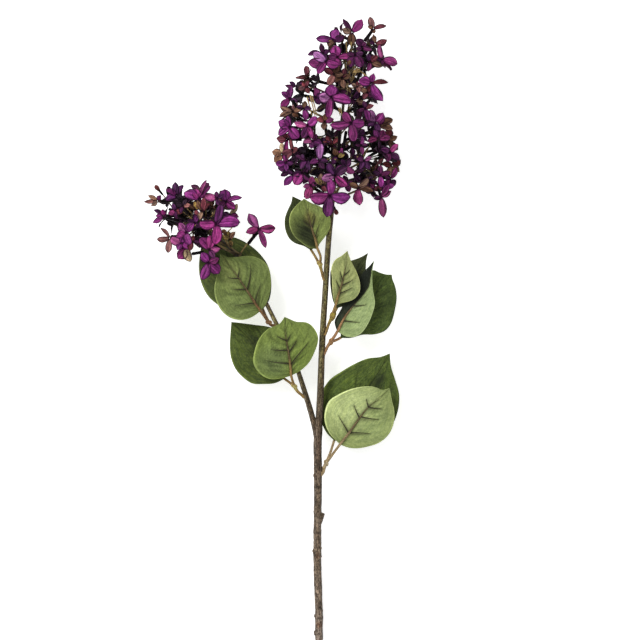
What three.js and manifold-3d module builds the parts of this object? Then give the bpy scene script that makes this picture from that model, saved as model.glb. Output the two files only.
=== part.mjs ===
// A lilac spray lying on a surface: one cut woody stem with a forked side branch, six pairs of
// heart-shaped leaves on forked stalks, and two heads of four-petalled florets.
// Millimetres. The stem runs along +Y, +Z is up from the surface, and the origin is the middle of the
// footprint. Shapes are laid out round a working point near the stem's middle, then moved as a group.

import * as THREE from "three";
import { mergeVertices } from "three/addons/utils/BufferGeometryUtils.js";
import Module from "manifold-3d";

const wasm = await Module();
wasm.setup();

// ---- Driving dimensions (mm, degrees) ------------------------------------------------------------

const WELD = 1e-3; // vertices closer than this are one

const BLADE_THICKNESS = 0.8;
const BLADE_ROWS = 7;
const BLADE_COLUMNS = 4;
const WAVES_PER_BLADE = 2.2; // ripples along one edge
const RIB_RADIUS = 0.95; // at the foot of a leaf's midrib
const VEIN_RADIUS = 0.5;
const VEIN_END_RADIUS = 0.35;
const MIDRIB_SHARES = [0.02, 0.25, 0.5, 0.84]; // where the midrib is held to the blade
const RIB_CLEARANCE = 0.75; // between a midrib and its blade
const VEIN_CLEARANCE = 1; // the same for a straight vein over a bowed blade

const PETAL_THICKNESS = 0.7;
const PETAL_WIDTH_SHARE = 0.56; // of a petal's length
const PETAL_WIDEST_AT = 0.62; // share of a petal's length
const PETAL_CUP = 0.06; // rise of its sides and fall of its tip, as a share of its length
const THROAT_RADIUS = 1.9;
const TUBE_LENGTH = 13;
const TUBE_END_RADIUS = 1.15;
const PEDICEL_RADIUS = 0.7;
const BRANCHLET_RADIUS = 1.4;
const RACHIS_RADIUS = 1.9;

const GOLDEN_ANGLE = 137.5;
const FLORET_SPACING = 17; // between throats
const HIGHEST_THROAT = 100;
const SETTLE_PASSES = 30;

// The main stem from its cut end to the big head: across, along, height of the axis, radius.
const STEM = [
  [-1, -323, 3.4, 3.35],
  [-1.2, -290, 6.4, 3.35],
  [-2, -268, 8.4, 3.4],
  [-2.7, -240, 11, 3.45],
  [-2.6, -210, 13.8, 3.4],
  [-2.1, -170, 17.4, 3.45],
  [-2.2, -122, 22, 3.65],
  [-0.6, -96, 24.6, 3.1],
  [0.5, -70, 27.2, 2.85],
  [1.6, -38, 31, 2.7],
  [3, -8, 34.4, 2.6],
  [5, 24, 38, 2.5],
  [7.2, 60, 42.2, 2.35],
  [9, 84, 45.4, 2.25],
  [11.6, 110, 49, 2.1],
];

// The side branch from the fork to the small head.
const SIDE_BRANCH = [
  [-2.4, -122, 22, 2.5],
  [-5.6, -106, 23.6, 2.4],
  [-10.2, -89, 25.4, 2.3],
  [-15, -73, 27, 2.1],
  [-21.7, -52, 29.6, 1.75],
  [-30, -27, 33, 1.65],
  [-44, -3, 36.2, 1.55],
  [-54, 17, 38.4, 1.45],
  [-68, 42, 40.4, 1.35],
  [-79, 59, 41.8, 1.25],
];

// Knots, snags and ring scars on the bark: across, along, height above the axis, radius, stretch.
const KNOTS = [
  [-5.1, -156.5, 1.2, 1.9, 1.7],
  [1.8, -198.5, 0.8, 3, 1.7],
  [-5.7, -233, 0.6, 2.3, 1.5],
  [0.4, -229.5, 0.4, 1.7, 1.2],
  [0.4, -238, -0.2, 1.7, 1.2],
  [-4.2, -298, 1, 1.9, 1.4],
  [1.9, -293, 0.6, 1.7, 1.2],
  [-4.6, -315.5, 0.2, 2.1, 1.5],
  [8.4, 53, 1.2, 1.7, 1.2],
];

// Leaves, each laid out from its foot to its tip. Outlines are across and along; `height` is that of
// the midrib at the foot, the middle and the tip; `lift` is how far the left and the right edge stand
// above it; `veins` run from the midrib to a point on the blade. Ribs stand on the underside, which
// is turned up where `ribsUp` is true.
const LEAVES = {
  leaf_a_front: {
    foot: [-2.5, 71],
    tip: [-16, 121],
    left: [[-10, 72], [-18, 77], [-26, 84], [-30.5, 95], [-29.5, 106], [-24, 114]],
    right: [[-0.5, 76], [5, 83], [9.5, 91], [10.6, 99], [8, 108], [0, 113.5], [-9, 117]],
    rib: [[-4.5, 80], [-7.8, 90], [-12, 106]],
    height: [46.5, 54, 57],
    lift: [3, 1.5],
    wave: 0.8,
    ribsUp: true,
    veins: [[-4.5, 81, -0.5, 96], [-8, 92, -5, 104], [-8.5, 93, -17, 99]],
  },
  leaf_a_back: {
    foot: [-9, 70],
    tip: [-27.5, 124],
    left: [[-16, 74], [-25, 77], [-31, 82], [-35, 92], [-35.2, 102], [-32, 111], [-29, 117]],
    right: [[-3, 75], [2, 83], [4, 93], [1, 104], [-7, 113], [-17, 119]],
    rib: [[-14, 85], [-19, 98], [-24, 112]],
    height: [41.5, 37, 33],
    lift: [-2, 2],
    wave: 0.8,
    ribsUp: false,
    veins: [[-13, 82, -4, 93], [-17, 93, -9, 104], [-15, 86, -25, 92], [-19, 97, -28, 103]],
  },
  leaf_b_front: {
    foot: [15.5, 14.5],
    tip: [27.3, 69],
    left: [[13.6, 22], [12.5, 32], [12, 42], [11.4, 52], [15, 60], [22, 64.5]],
    right: [[20, 16.6], [26, 18], [34, 21], [39.5, 28], [40, 37], [36.5, 48], [31, 59]],
    rib: [[18, 24], [21.5, 35], [24.5, 48]],
    height: [43, 52, 56],
    lift: [2, -2],
    wave: 0.7,
    ribsUp: true,
    veins: [
      [20, 25, 32, 32],
      [23, 34, 33, 40.5],
      [25, 45, 30, 50],
      [18.5, 31, 16, 40.5],
      [21, 39, 20, 48.5],
    ],
  },
  leaf_b_back: {
    foot: [17, 12],
    tip: [48, 67],
    left: [[13.5, 18], [11.2, 28], [10.2, 40], [11.5, 51], [20, 57], [31, 59.5], [41, 63]],
    right: [[25, 14.5], [34, 21], [41, 30], [45, 41], [46, 51], [46.4, 60]],
    rib: [[22, 24], [29, 38], [39, 55]],
    height: [36.2, 33, 30.5],
    lift: [-1, 1],
    wave: 0.8,
    ribsUp: false,
    veins: [[21, 22, 32, 28], [26, 33, 38, 42], [21, 22, 16, 35], [27, 35, 24, 48]],
  },
  leaf_c_front: {
    foot: [17.5, -11.5],
    tip: [54, 59],
    left: [[15.2, -5.5], [14.8, -1], [19.5, 8], [27, 21], [36, 35], [42, 46], [49, 53.5]],
    right: [
      [25.5, -16.2], [33, -17], [41, -13.5], [48, -4], [53, 8],
      [55, 17], [53, 30], [52.2, 41], [52.4, 51],
    ],
    rib: [[24, 1.5], [32, 12.5], [41, 23], [48, 32], [50.5, 44]],
    height: [37, 41, 44],
    lift: [-2.5, 3],
    wave: 0.5,
    ribsUp: true,
    veins: [[24, -1, 40, -2], [34, 13, 47, 16], [25, 2, 24, 9]],
  },
  leaf_c_back: {
    foot: [21, -18],
    tip: [72, 45.5],
    left: [[21, -7], [26, 8], [33, 24], [41, 39], [52.5, 50], [60, 47.6], [66, 45.8]],
    right: [
      [31, -18], [43, -14.8], [55, -14.4], [65, -11], [71, -4],
      [75, 9], [77, 23], [75.5, 34], [73, 40.5],
    ],
    rib: [[34, -3], [48, 16], [60, 32]],
    height: [33, 29, 27],
    lift: [-2, -2.2],
    wave: 1,
    ribsUp: false,
    veins: [[31, -7, 46, -6], [41, 7, 58, 10], [52, 21, 66, 27], [31, -7, 32, 10], [42, 8, 44, 26]],
  },
  leaf_d_front: {
    foot: [20, -125],
    tip: [70, -68.6],
    left: [
      [10.5, -115], [5.5, -105], [4.6, -94], [9, -81.5], [20, -74],
      [31, -69.4], [43, -66.9], [54, -67.2], [63, -70.2],
    ],
    right: [[29, -128.4], [38, -129], [49, -127], [60, -123], [69, -115], [74, -104], [74.8, -93], [72, -80]],
    rib: [[29, -113.5], [40, -98], [48, -88], [59, -79]],
    height: [22.5, 29, 27],
    lift: [1.5, -2.5],
    wave: 0.9,
    ribsUp: true,
    veins: [
      [28.5, -113, 19, -96.5],
      [40, -98, 33.5, -85],
      [49, -87, 46.5, -80],
      [31, -114.5, 50, -114.3],
      [43, -99.5, 60, -100],
      [51, -89, 62, -89],
    ],
  },
  leaf_d_back: {
    foot: [14, -121],
    tip: [70.3, -33.8],
    left: [
      [7, -114], [2, -104], [0.5, -92], [1.5, -74], [10, -60],
      [22, -51.6], [34, -44.6], [48, -38.8], [60, -37.4],
    ],
    right: [[27, -124], [42, -122], [58, -117], [71, -108], [78, -93], [79.8, -76], [76, -61], [71.6, -47]],
    rib: [[24, -105], [38, -84], [52, -64]],
    height: [17.5, 15.5, 12],
    lift: [-1, -2],
    wave: 1.1,
    ribsUp: false,
    veins: [
      [23, -107, 12, -91],
      [34, -90, 22, -70],
      [45, -74, 36, -55],
      [23, -107, 44, -108],
      [34, -90, 58, -90],
      [46, -72, 64, -67],
    ],
  },
  leaf_e_front: {
    foot: [-29, -56],
    tip: [-35.3, 3],
    left: [[-40, -58.6], [-51, -59], [-61, -53], [-66.8, -43], [-66, -33], [-61, -19], [-52, -9], [-41, -4]],
    right: [
      [-20, -51], [-12, -44], [-6, -33.5], [-1.8, -18],
      [-6.5, -7.5], [-13, -2.6], [-24, -1.6], [-31, 1.2],
    ],
    rib: [[-29.8, -45], [-32, -30], [-34.6, -14]],
    height: [32, 42, 44],
    lift: [1.5, 1],
    wave: 0.6,
    ribsUp: true,
    veins: [
      [-29, -46, -11.5, -22.5],
      [-31, -33, -23.5, -20],
      [-33, -21, -29, -15],
      [-30.5, -44, -55, -40],
      [-32, -30, -49, -29],
      [-34, -20, -44, -16],
    ],
  },
  leaf_e_back: {
    foot: [-36, -59],
    tip: [-89, -2],
    left: [
      [-45, -63.4], [-57, -64.4], [-68, -63.8], [-77, -58],
      [-85, -49], [-89.6, -37], [-90.6, -25], [-89.8, -11],
    ],
    right: [[-33, -50], [-30, -38], [-31, -24], [-40, -11], [-52, -6.8], [-65, -5], [-78, -3.2]],
    rib: [[-49, -45], [-62, -29], [-75, -15]],
    height: [27.5, 24, 20],
    lift: [-2, -1],
    wave: 1,
    ribsUp: false,
    veins: [
      [-47, -47, -66, -48],
      [-58, -34, -78, -34],
      [-68, -22, -82, -20],
      [-47, -47, -44, -28],
      [-58, -34, -56, -16],
    ],
  },
  leaf_f_front: {
    foot: [-59.5, 9],
    tip: [-99.4, 66.2],
    left: [
      [-69, 2.4], [-79, 0], [-90, 2.4], [-99, 10],
      [-104.5, 22], [-105.5, 33], [-102.5, 47], [-100.4, 58],
    ],
    right: [
      [-54.6, 15], [-50.4, 27], [-49, 39], [-51.4, 52.4],
      [-58, 60], [-69, 63.8], [-82, 63.2], [-92, 62.8],
    ],
    rib: [[-65, 17], [-74, 31], [-85, 47]],
    height: [41, 49, 51],
    lift: [1, -1.5],
    wave: 0.8,
    ribsUp: true,
    veins: [
      [-62.5, 17, -59.5, 36],
      [-71.5, 30, -69, 57],
      [-81, 43, -80, 52],
      [-64, 16, -85, 13.5],
      [-74, 30.5, -87, 29.5],
      [-82, 42, -92, 43],
    ],
  },
  leaf_f_back: {
    foot: [-57, 11],
    tip: [-118, 82],
    left: [[-70, 7], [-88, 8], [-103, 15.6], [-112, 23.5], [-118, 34], [-121, 45], [-121.5, 57], [-120, 70]],
    right: [[-51, 20], [-48.8, 36], [-52, 54], [-60, 66], [-71, 75.6], [-83, 82], [-95, 84.6], [-107, 84.4]],
    rib: [[-70, 25], [-86, 44], [-102, 63]],
    height: [35, 28, 22],
    lift: [-2, -2],
    wave: 1,
    ribsUp: false,
    veins: [
      [-66, 21, -90, 19],
      [-77, 34, -102, 33],
      [-89, 48, -112, 50],
      [-66, 21, -60, 44],
      [-77, 34, -71, 60],
      [-90, 49, -86, 70],
    ],
  },
};

// Each leaf pair's stalk: from its seat on the stem or branch through the fork, then on to the feet
// of the front and the back leaf. Across, along, height, radius.
const STALKS = {
  leaf_stalk_a: {
    trunk: [[2.9, 43.5, 41.5, 1.1], [1.6, 49, 42.6, 1.1], [-0.4, 56.5, 43.8, 1.5]],
    front: [[-0.3, 55.6, 43.8, 1.2], [0.6, 63, 45.4, 0.95]],
    back: [[-0.5, 55.6, 43.5, 1.2], [-5, 64, 40.8, 0.95]],
    leaves: ["leaf_a_front", "leaf_a_back"],
  },
  leaf_stalk_b: {
    trunk: [[6.9, -10, 35, 1.1], [8, -2.5, 36.6, 1.1], [11, 3, 38.6, 1.5]],
    front: [[11, 3, 38.8, 1.2], [12.6, 8, 41.2, 1]],
    back: [[11.4, 3.4, 38, 1.2], [14.4, 8, 35.2, 0.95]],
    leaves: ["leaf_b_front", "leaf_b_back"],
  },
  leaf_stalk_c: {
    trunk: [[5.9, -31.8, 32, 1.1], [7.4, -26, 33, 1.15], [10.8, -21.4, 34.2, 1.5]],
    front: [[10.6, -21.6, 34.4, 1.3], [14, -17, 36.6, 1.15]],
    back: [[11.2, -21.6, 33.3, 1.2], [15.6, -20.4, 30.8, 1]],
    leaves: ["leaf_c_front", "leaf_c_back"],
  },
  leaf_stalk_d: {
    trunk: [[3.1, -152.6, 19.6, 1.4], [4, -149, 19.8, 1.4], [6.2, -143.6, 20.2, 1.4]],
    front: [[6.4, -143.4, 20.4, 1.15], [13, -134.6, 21.6, 1]],
    back: [[6.2, -143.4, 20, 1.15], [10.6, -133, 16, 1]],
    leaves: ["leaf_d_front", "leaf_d_back"],
  },
  leaf_stalk_e: {
    trunk: [[-18, -75.6, 27.4, 1.1], [-22.6, -71.6, 28.2, 1.15], [-26, -66, 29.2, 1.5]],
    front: [[-26, -66, 29.6, 1.25], [-27.6, -61, 31, 1]],
    back: [[-26.2, -66, 29, 1.2], [-31, -62.4, 26.2, 0.95]],
    leaves: ["leaf_e_front", "leaf_e_back"],
  },
  leaf_stalk_f: {
    trunk: [[-45.8, -5.6, 36.6, 1.1], [-48.6, -5.2, 37, 1.15], [-51.4, -2.2, 37.6, 1.4]],
    front: [[-51.4, -2.2, 37.8, 1.25], [-55.6, 3.6, 39.6, 1]],
    back: [[-51.4, -2.2, 37.2, 1.2], [-54.6, 4.4, 33.8, 1]],
    leaves: ["leaf_f_front", "leaf_f_back"],
  },
};

// A head: its rachis (across, along, height); its outline (along, middle, half width); the whorls of
// branchlets or, in the small head, the ends of its branchlets; the florets of its face and flanks;
// its buds; the florets pressed flat under it; and the rule for the rest of its underside.
// A floret: across, along, height of the throat; bearing and lean of the way it faces (degrees round
// from +X, and away from straight up); turn of its petals; petal length; how far they close up.
const BIG_HEAD = {
  rachis: [
    [11.6, 110.4, 49.1],
    [14, 130, 50],
    [18, 168, 51],
    [22, 202, 51],
    [27, 250, 50],
    [32, 272, 50],
  ],
  outline: [
    [110, 28, 34],
    [130, 28, 43],
    [150, 18, 59],
    [190, 14.5, 53],
    [220, 13.5, 52],
    [240, 18, 48],
    [255, 28, 40],
    [275, 31, 33],
    [290, 43, 22],
    [300, 39, 14],
  ],
  whorls: { first: 124, step: 25, count: 6, each: 3, reach: 0.42, rise: 9 },
  florets: [
    [32, 287, 58, 92, 74, 30, 15, 50],
    [14, 278, 70, 180, 32, 0, 16, 28],
    [25, 281, 62, 96, 78, 10, 11, 62],
    [1, 266, 54, 158, 50, 20, 15, 30],
    [6, 256, 88, 165, 16, -6, 14, 14],
    [17, 262, 74, 70, 52, 12, 14, 28],
    [35, 258, 76, 72, 58, 30, 12, 44],
    [12, 238, 84, 205, 52, 25, 12, 44],
    [-12, 242, 62, 130, 66, 0, 12, 40],
    [53, 291, 50, 56, 122, 96, 14, 12],
    [55, 276, 44, 60, 76, 15, 14, 26],
    [62, 260, 60, 20, 48, -10, 15, 16],
    [42, 272, 64, 82, 64, 20, 13, 36],
    [50, 257, 70, 5, 64, 40, 13, 30],
    [51, 235, 88, -20, 18, -8, 15, 12],
    [-24, 234, 44, 172, 70, 20, 14, 34],
    [-14, 232, 68, 150, 54, 50, 12, 36],
    [-30, 221, 58, 165, 42, 45, 14, 22],
    [-27, 208, 50, 200, 118, 30, 15, 10],
    [-16, 210, 70, 130, 56, 10, 13, 38],
    [11, 221, 97, 120, 24, -14, 17, 12],
    [-30, 192, 56, 180, 46, 35, 14, 24],
    [-35, 181, 48, 182, 82, 15, 14, 30],
    [-38, 166, 46, 188, 78, 40, 13, 36],
    [-12, 193, 80, 155, 46, 40, 13, 34],
    [5, 197, 84, 95, 54, 55, 12, 40],
    [37, 232, 82, 60, 58, 60, 12, 44],
    [35, 219, 78, 40, 60, 20, 13, 38],
    [31, 195, 99, 190, 14, -10, 17, 12],
    [45, 210, 82, 60, 58, 40, 13, 36],
    [54, 201, 72, 20, 55, 15, 13, 34],
    [59, 194, 60, 50, 104, 60, 16, 16],
    [58, 181, 72, -10, 54, 30, 14, 30],
    [68, 180, 52, -5, 70, 10, 13, 32],
    [-34, 157, 52, 190, 60, 30, 14, 28],
    [-27, 169, 66, 175, 48, 10, 13, 30],
    [-33, 149, 46, 205, 76, 20, 12, 40],
    [-28, 141, 56, 215, 52, 45, 13, 26],
    [-18, 143, 68, 220, 46, 0, 13, 26],
    [1, 170, 92, 100, 62, 80, 14, 30],
    [-1, 157, 86, 230, 50, 30, 13, 32],
    [-13, 159, 76, 200, 50, 50, 13, 34],
    [17, 163, 88, -60, 56, 5, 13, 38],
    [15, 143, 94, 250, 20, 18, 15, 14],
    [10, 123, 88, -90, 12, -8, 18, 10],
    [-9, 130, 66, 215, 48, 40, 13, 28],
    [3, 134, 82, 160, 52, 20, 12, 42],
    [41, 173, 88, 70, 60, 85, 14, 30],
    [70, 167, 52, 12, 74, 20, 14, 26],
    [72, 155, 46, -8, 82, 50, 13, 34],
    [44, 158, 84, 0, 52, 15, 13, 38],
    [25, 152, 88, -40, 56, 40, 13, 38],
    [60, 144, 66, -20, 56, 0, 13, 32],
    [71, 141, 50, -10, 66, 85, 13, 28],
    [64, 131, 56, -35, 54, 20, 13, 26],
    [61, 122, 60, -45, 46, -2, 18, 14],
    [38, 131, 82, -50, 138, -5, 16, 8],
    [36, 183, 88, 20, 60, 30, 13, 40],
  ],
  buds: [[27, 250, 76, 70, 40], [14, 113, 74, -70, 40], [-17, 200, 58, 150, 70]],
  flat: [[-12, 150, 20], [46, 148, 60], [18, 176, 0], [24, 236, 40]],
  under: { count: 17, first: 126, last: 290, reach: 0.74 },
};

const SMALL_HEAD = {
  rachis: [[-79.4, 59.9, 42], [-90, 72, 43], [-103, 82, 44], [-118, 91, 45], [-133, 98, 45]],
  outline: [
    [60, -120, 24],
    [80, -128, 34],
    [95, -124, 42],
    [115, -124, 42],
    [132, -124, 28],
    [140, -122, 16],
  ],
  hubs: [
    [-80, 66, 44],
    [-97, 84, 47],
    [-108, 79, 52],
    [-112, 94, 36],
    [-117, 98, 52],
    [-127, 88, 50],
    [-130, 103, 44],
    [-138, 98, 40],
  ],
  florets: [
    [-162, 119, 50, 165, 70, 10, 14, 34],
    [-143, 124, 54, 130, 56, 20, 14, 30],
    [-127, 124, 76, 85, 28, 38, 18, 14],
    [-157, 105, 52, 175, 66, 45, 14, 30],
    [-144, 109, 72, 150, 50, 55, 13, 36],
    [-136, 113, 78, 120, 50, 10, 13, 34],
    [-150, 82, 48, 196, 112, 40, 15, 10],
    [-142, 76, 54, 215, 54, 10, 13, 26],
    [-138, 67, 44, 235, 70, 35, 14, 26],
    [-133, 87, 74, 220, 48, 15, 14, 30],
    [-129, 75, 64, 230, 50, 60, 12, 34],
    [-103, 95, 88, 20, 10, -2, 19, 12],
    [-110, 70, 76, 250, 24, 35, 15, 14],
    [-111, 57, 66, -92, 40, 60, 16, 16],
    [-118, 114, 78, 80, 56, 30, 13, 38],
    [-109, 124, 62, 84, 54, 40, 14, 30],
    [-94, 118, 62, 30, 46, 14, 16, 20],
    [-90, 105, 56, 10, 54, 50, 13, 32],
    [-61, 91, 58, 48, 30, 25, 16, 8],
    [-158, 90, 34, 205, 100, 10, 13, 30],
  ],
  buds: [[-90, 81, 58, 128, 64], [-157, 125, 46, 130, 80]],
  flat: [[-134, 106, 30], [-108, 108, 70]],
  under: { count: 5, first: 98, last: 132, reach: 0.72 },
};

// ---- Shape helpers --------------------------------------------------------------------------------

const vec = (x, y, z) => new THREE.Vector3(x, y, z);
const mix = THREE.MathUtils.lerp;
const radians = THREE.MathUtils.degToRad;

// A repeatable draw between -1 and 1 for the numbered choice of a numbered thing.
function draw(thing, choice) {
  const wild = Math.sin(thing * 127.1 + choice * 311.7) * 43758.5453;
  return 2 * (wild - Math.floor(wild)) - 1;
}

// The value in `column` of a table, at `place` along the line through its rows' `key` column.
function along(table, place, column = 1, key = 0) {
  let i = 1;
  while (i < table.length - 1 && table[i][key] < place) i++;
  const [a, b] = [table[i - 1], table[i]];
  const share = THREE.MathUtils.clamp((place - a[key]) / (b[key] - a[key]), 0, 1);
  return mix(a[column], b[column], share);
}

// A closed geometry as a solid: shared corners merged and faces that have shrunk to a line dropped.
function solid(geometry) {
  const open = geometry.index ? geometry.toNonIndexed() : geometry.clone();
  const bare = new THREE.BufferGeometry().setAttribute("position", open.getAttribute("position"));
  const merged = mergeVertices(bare, WELD);
  const kept = [];
  const index = merged.index.array;
  for (let i = 0; i < index.length; i += 3) {
    const [a, b, c] = [index[i], index[i + 1], index[i + 2]];
    if (a !== b && b !== c && c !== a) kept.push(a, b, c);
  }
  return new wasm.Manifold(
    new wasm.Mesh({
      numProp: 3,
      vertProperties: merged.getAttribute("position").array,
      triVerts: new Uint32Array(kept),
    }),
  );
}

// Solids fused into one body. A pocket sealed among them is filled.
function fuse(solids) {
  const joined = solids.reduce((sum, one) => sum.add(one));
  const bodies = joined.decompose();
  return bodies.reduce((best, body) => (body.volume() > best.volume() ? body : best));
}

function meshOf(name, body, material) {
  const { vertProperties, triVerts } = body.getMesh();
  const geometry = new THREE.BufferGeometry()
    .setAttribute("position", new THREE.BufferAttribute(vertProperties, 3))
    .setIndex(new THREE.BufferAttribute(triVerts, 1));
  geometry.computeVertexNormals();
  const mesh = new THREE.Mesh(geometry, material);
  mesh.name = name;
  return mesh;
}

// A bar of changing thickness through points of across, along, height and radius: a closed cylinder
// bent along the curve.
function bar(points, sides, steps) {
  const curve = new THREE.CatmullRomCurve3(
    points.map(([x, y, z]) => vec(x, y, z)),
    false,
    "centripetal",
  );
  const frames = curve.computeFrenetFrames(steps);
  const radii = points.map((point, i) => [i, point[3]]);
  const geometry = new THREE.CylinderGeometry(1, 1, 1, sides, steps);
  const place = geometry.getAttribute("position");
  for (let i = 0; i < place.count; i++) {
    const step = Math.round((place.getY(i) + 0.5) * steps);
    const radius = along(radii, curve.getUtoTmapping(step / steps) * (points.length - 1));
    const spot = curve
      .getPointAt(step / steps)
      .addScaledVector(frames.normals[step], place.getX(i) * radius)
      .addScaledVector(frames.binormals[step], -place.getZ(i) * radius);
    place.setXYZ(i, spot.x, spot.y, spot.z);
  }
  return solid(geometry);
}

// A thin closed sheet of even thickness whose middle surface is at(share, across), with share from 0
// to 1 and across from -1 to 1. Both faces are split into triangles alike.
function sheet(rows, columns, thickness, at) {
  const plane = new THREE.PlaneGeometry(1, 1, columns, rows);
  const flat = plane.getAttribute("position");
  const points = [];
  for (const side of [0.5, -0.5])
    for (let i = 0; i < flat.count; i++) {
      const p = at(flat.getY(i) + 0.5, 2 * flat.getX(i));
      points.push(p.x, p.y, p.z + side * thickness);
    }
  const faces = [];
  const under = flat.count;
  const top = plane.index.array;
  for (let i = 0; i < top.length; i += 3) {
    const [a, b, c] = top.subarray(i, i + 3);
    faces.push(a, b, c, c + under, b + under, a + under);
  }
  const corner = (row, column) => row * (columns + 1) + column;
  const rim = [];
  for (let c = 0; c < columns; c++) rim.push(corner(rows, c));
  for (let r = rows; r > 0; r--) rim.push(corner(r, columns));
  for (let c = columns; c > 0; c--) rim.push(corner(0, c));
  for (let r = 0; r < rows; r++) rim.push(corner(r, 0));
  rim.forEach((a, i) => {
    const b = rim[(i + 1) % rim.length];
    faces.push(a, a + under, b + under, a, b + under, b);
  });
  const geometry = new THREE.BufferGeometry()
    .setAttribute("position", new THREE.Float32BufferAttribute(points, 3))
    .setIndex(faces);
  return solid(geometry);
}

// ---- Leaves ---------------------------------------------------------------------------------------

// The middle surface of a leaf: at(share, across), share from foot to tip and across from the left
// edge (-1) over the midrib (0) to the right edge (1).
function leafSurface(leaf) {
  const line = (inner) =>
    new THREE.CatmullRomCurve3(
      [leaf.foot, ...inner, leaf.tip].map(([x, y]) => vec(x, y, 0)),
      false,
      "centripetal",
    );
  const edges = { left: line(leaf.left), right: line(leaf.right) };
  const rib = line(leaf.rib);
  const [low, middle, high] = leaf.height;
  return (share, across) => {
    const spread = Math.sqrt(Math.max(0, 4 * share * (1 - share)));
    const edge = (across < 0 ? edges.left : edges.right).getPointAt(share);
    const point = rib.getPointAt(share).lerp(edge, Math.abs(across));
    const bow = 4 * share * (1 - share) * (middle - (low + high) / 2);
    const lift = (across < 0 ? leaf.lift[0] : leaf.lift[1]) * Math.abs(across) ** 1.3;
    const phase = WAVES_PER_BLADE * share + 0.15 * Math.sign(across);
    const ripple = leaf.wave * Math.sin(2 * Math.PI * phase) * across ** 2;
    point.z = mix(low, high, share) + bow + spread * (lift + ripple);
    return point;
  };
}

// The share and the place across a leaf nearest to a point seen from above.
function nearest(surface, x, y, acrossSteps) {
  let best = { gap: Infinity };
  for (let i = 0; i <= 48; i++)
    for (let j = -acrossSteps; j <= acrossSteps; j++) {
      const across = acrossSteps ? j / acrossSteps : 0;
      const p = surface(i / 48, across);
      const gap = Math.hypot(p.x - x, p.y - y);
      if (gap < best.gap) best = { gap, share: i / 48, across };
    }
  return best;
}

function blade(leaf) {
  return sheet(BLADE_ROWS, BLADE_COLUMNS, BLADE_THICKNESS, leafSurface(leaf));
}

// A leaf's midrib, run on from its petiole, and its side veins, standing just clear of the blade.
function ribs(leaf, petiole) {
  const surface = leafSurface(leaf);
  const side = leaf.ribsUp ? 1 : -1;
  const stand = (share, across, radius, clearance) => {
    const p = surface(share, across);
    return [p.x, p.y, p.z + side * (BLADE_THICKNESS / 2 + clearance + radius), radius];
  };
  const midrib = MIDRIB_SHARES.map((share) =>
    stand(share, 0, mix(RIB_RADIUS, VEIN_RADIUS, share), RIB_CLEARANCE),
  );
  const bars = [bar([...petiole, ...midrib], 4, 5)];
  for (const [x0, y0, x1, y1] of leaf.veins) {
    const from = nearest(surface, x0, y0, 0);
    const to = nearest(surface, x1, y1, 12);
    const root = stand(from.share, 0, VEIN_RADIUS, VEIN_CLEARANCE);
    const end = stand(to.share, to.across, VEIN_END_RADIUS, VEIN_CLEARANCE);
    bars.push(bar([root, end], 3, 1));
  }
  return bars;
}

function stalk(plan) {
  const [front, back] = plan.leaves.map((name) => LEAVES[name]);
  return fuse([bar(plan.trunk, 5, 2), ...ribs(front, plan.front), ...ribs(back, plan.back)]);
}

// ---- Stem -----------------------------------------------------------------------------------------

function knot([x, y, rise, radius, stretch]) {
  const geometry = new THREE.SphereGeometry(radius, 4, 3);
  geometry.scale(1, stretch, 1);
  geometry.translate(x, y, along(STEM, y, 2, 1) + rise);
  return solid(geometry);
}

function stem() {
  return fuse([bar(STEM, 7, 24), bar(SIDE_BRANCH, 6, 11), ...KNOTS.map(knot)]);
}

// ---- Flower heads ---------------------------------------------------------------------------------

// The way a floret faces, and two directions square to it.
function facing(bearing, lean) {
  const out = vec(
    Math.sin(radians(lean)) * Math.cos(radians(bearing)),
    Math.sin(radians(lean)) * Math.sin(radians(bearing)),
    Math.cos(radians(lean)),
  );
  const turn = new THREE.Quaternion().setFromUnitVectors(vec(0, 0, 1), out);
  return { out, u: vec(1, 0, 0).applyQuaternion(turn), v: vec(0, 1, 0).applyQuaternion(turn) };
}

// Lifts two facing corners together so that neither is below the surface.
function press(top, bottom) {
  const depth = Math.min(top.z, bottom.z, 0);
  top.z -= depth;
  bottom.z -= depth;
}

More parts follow.
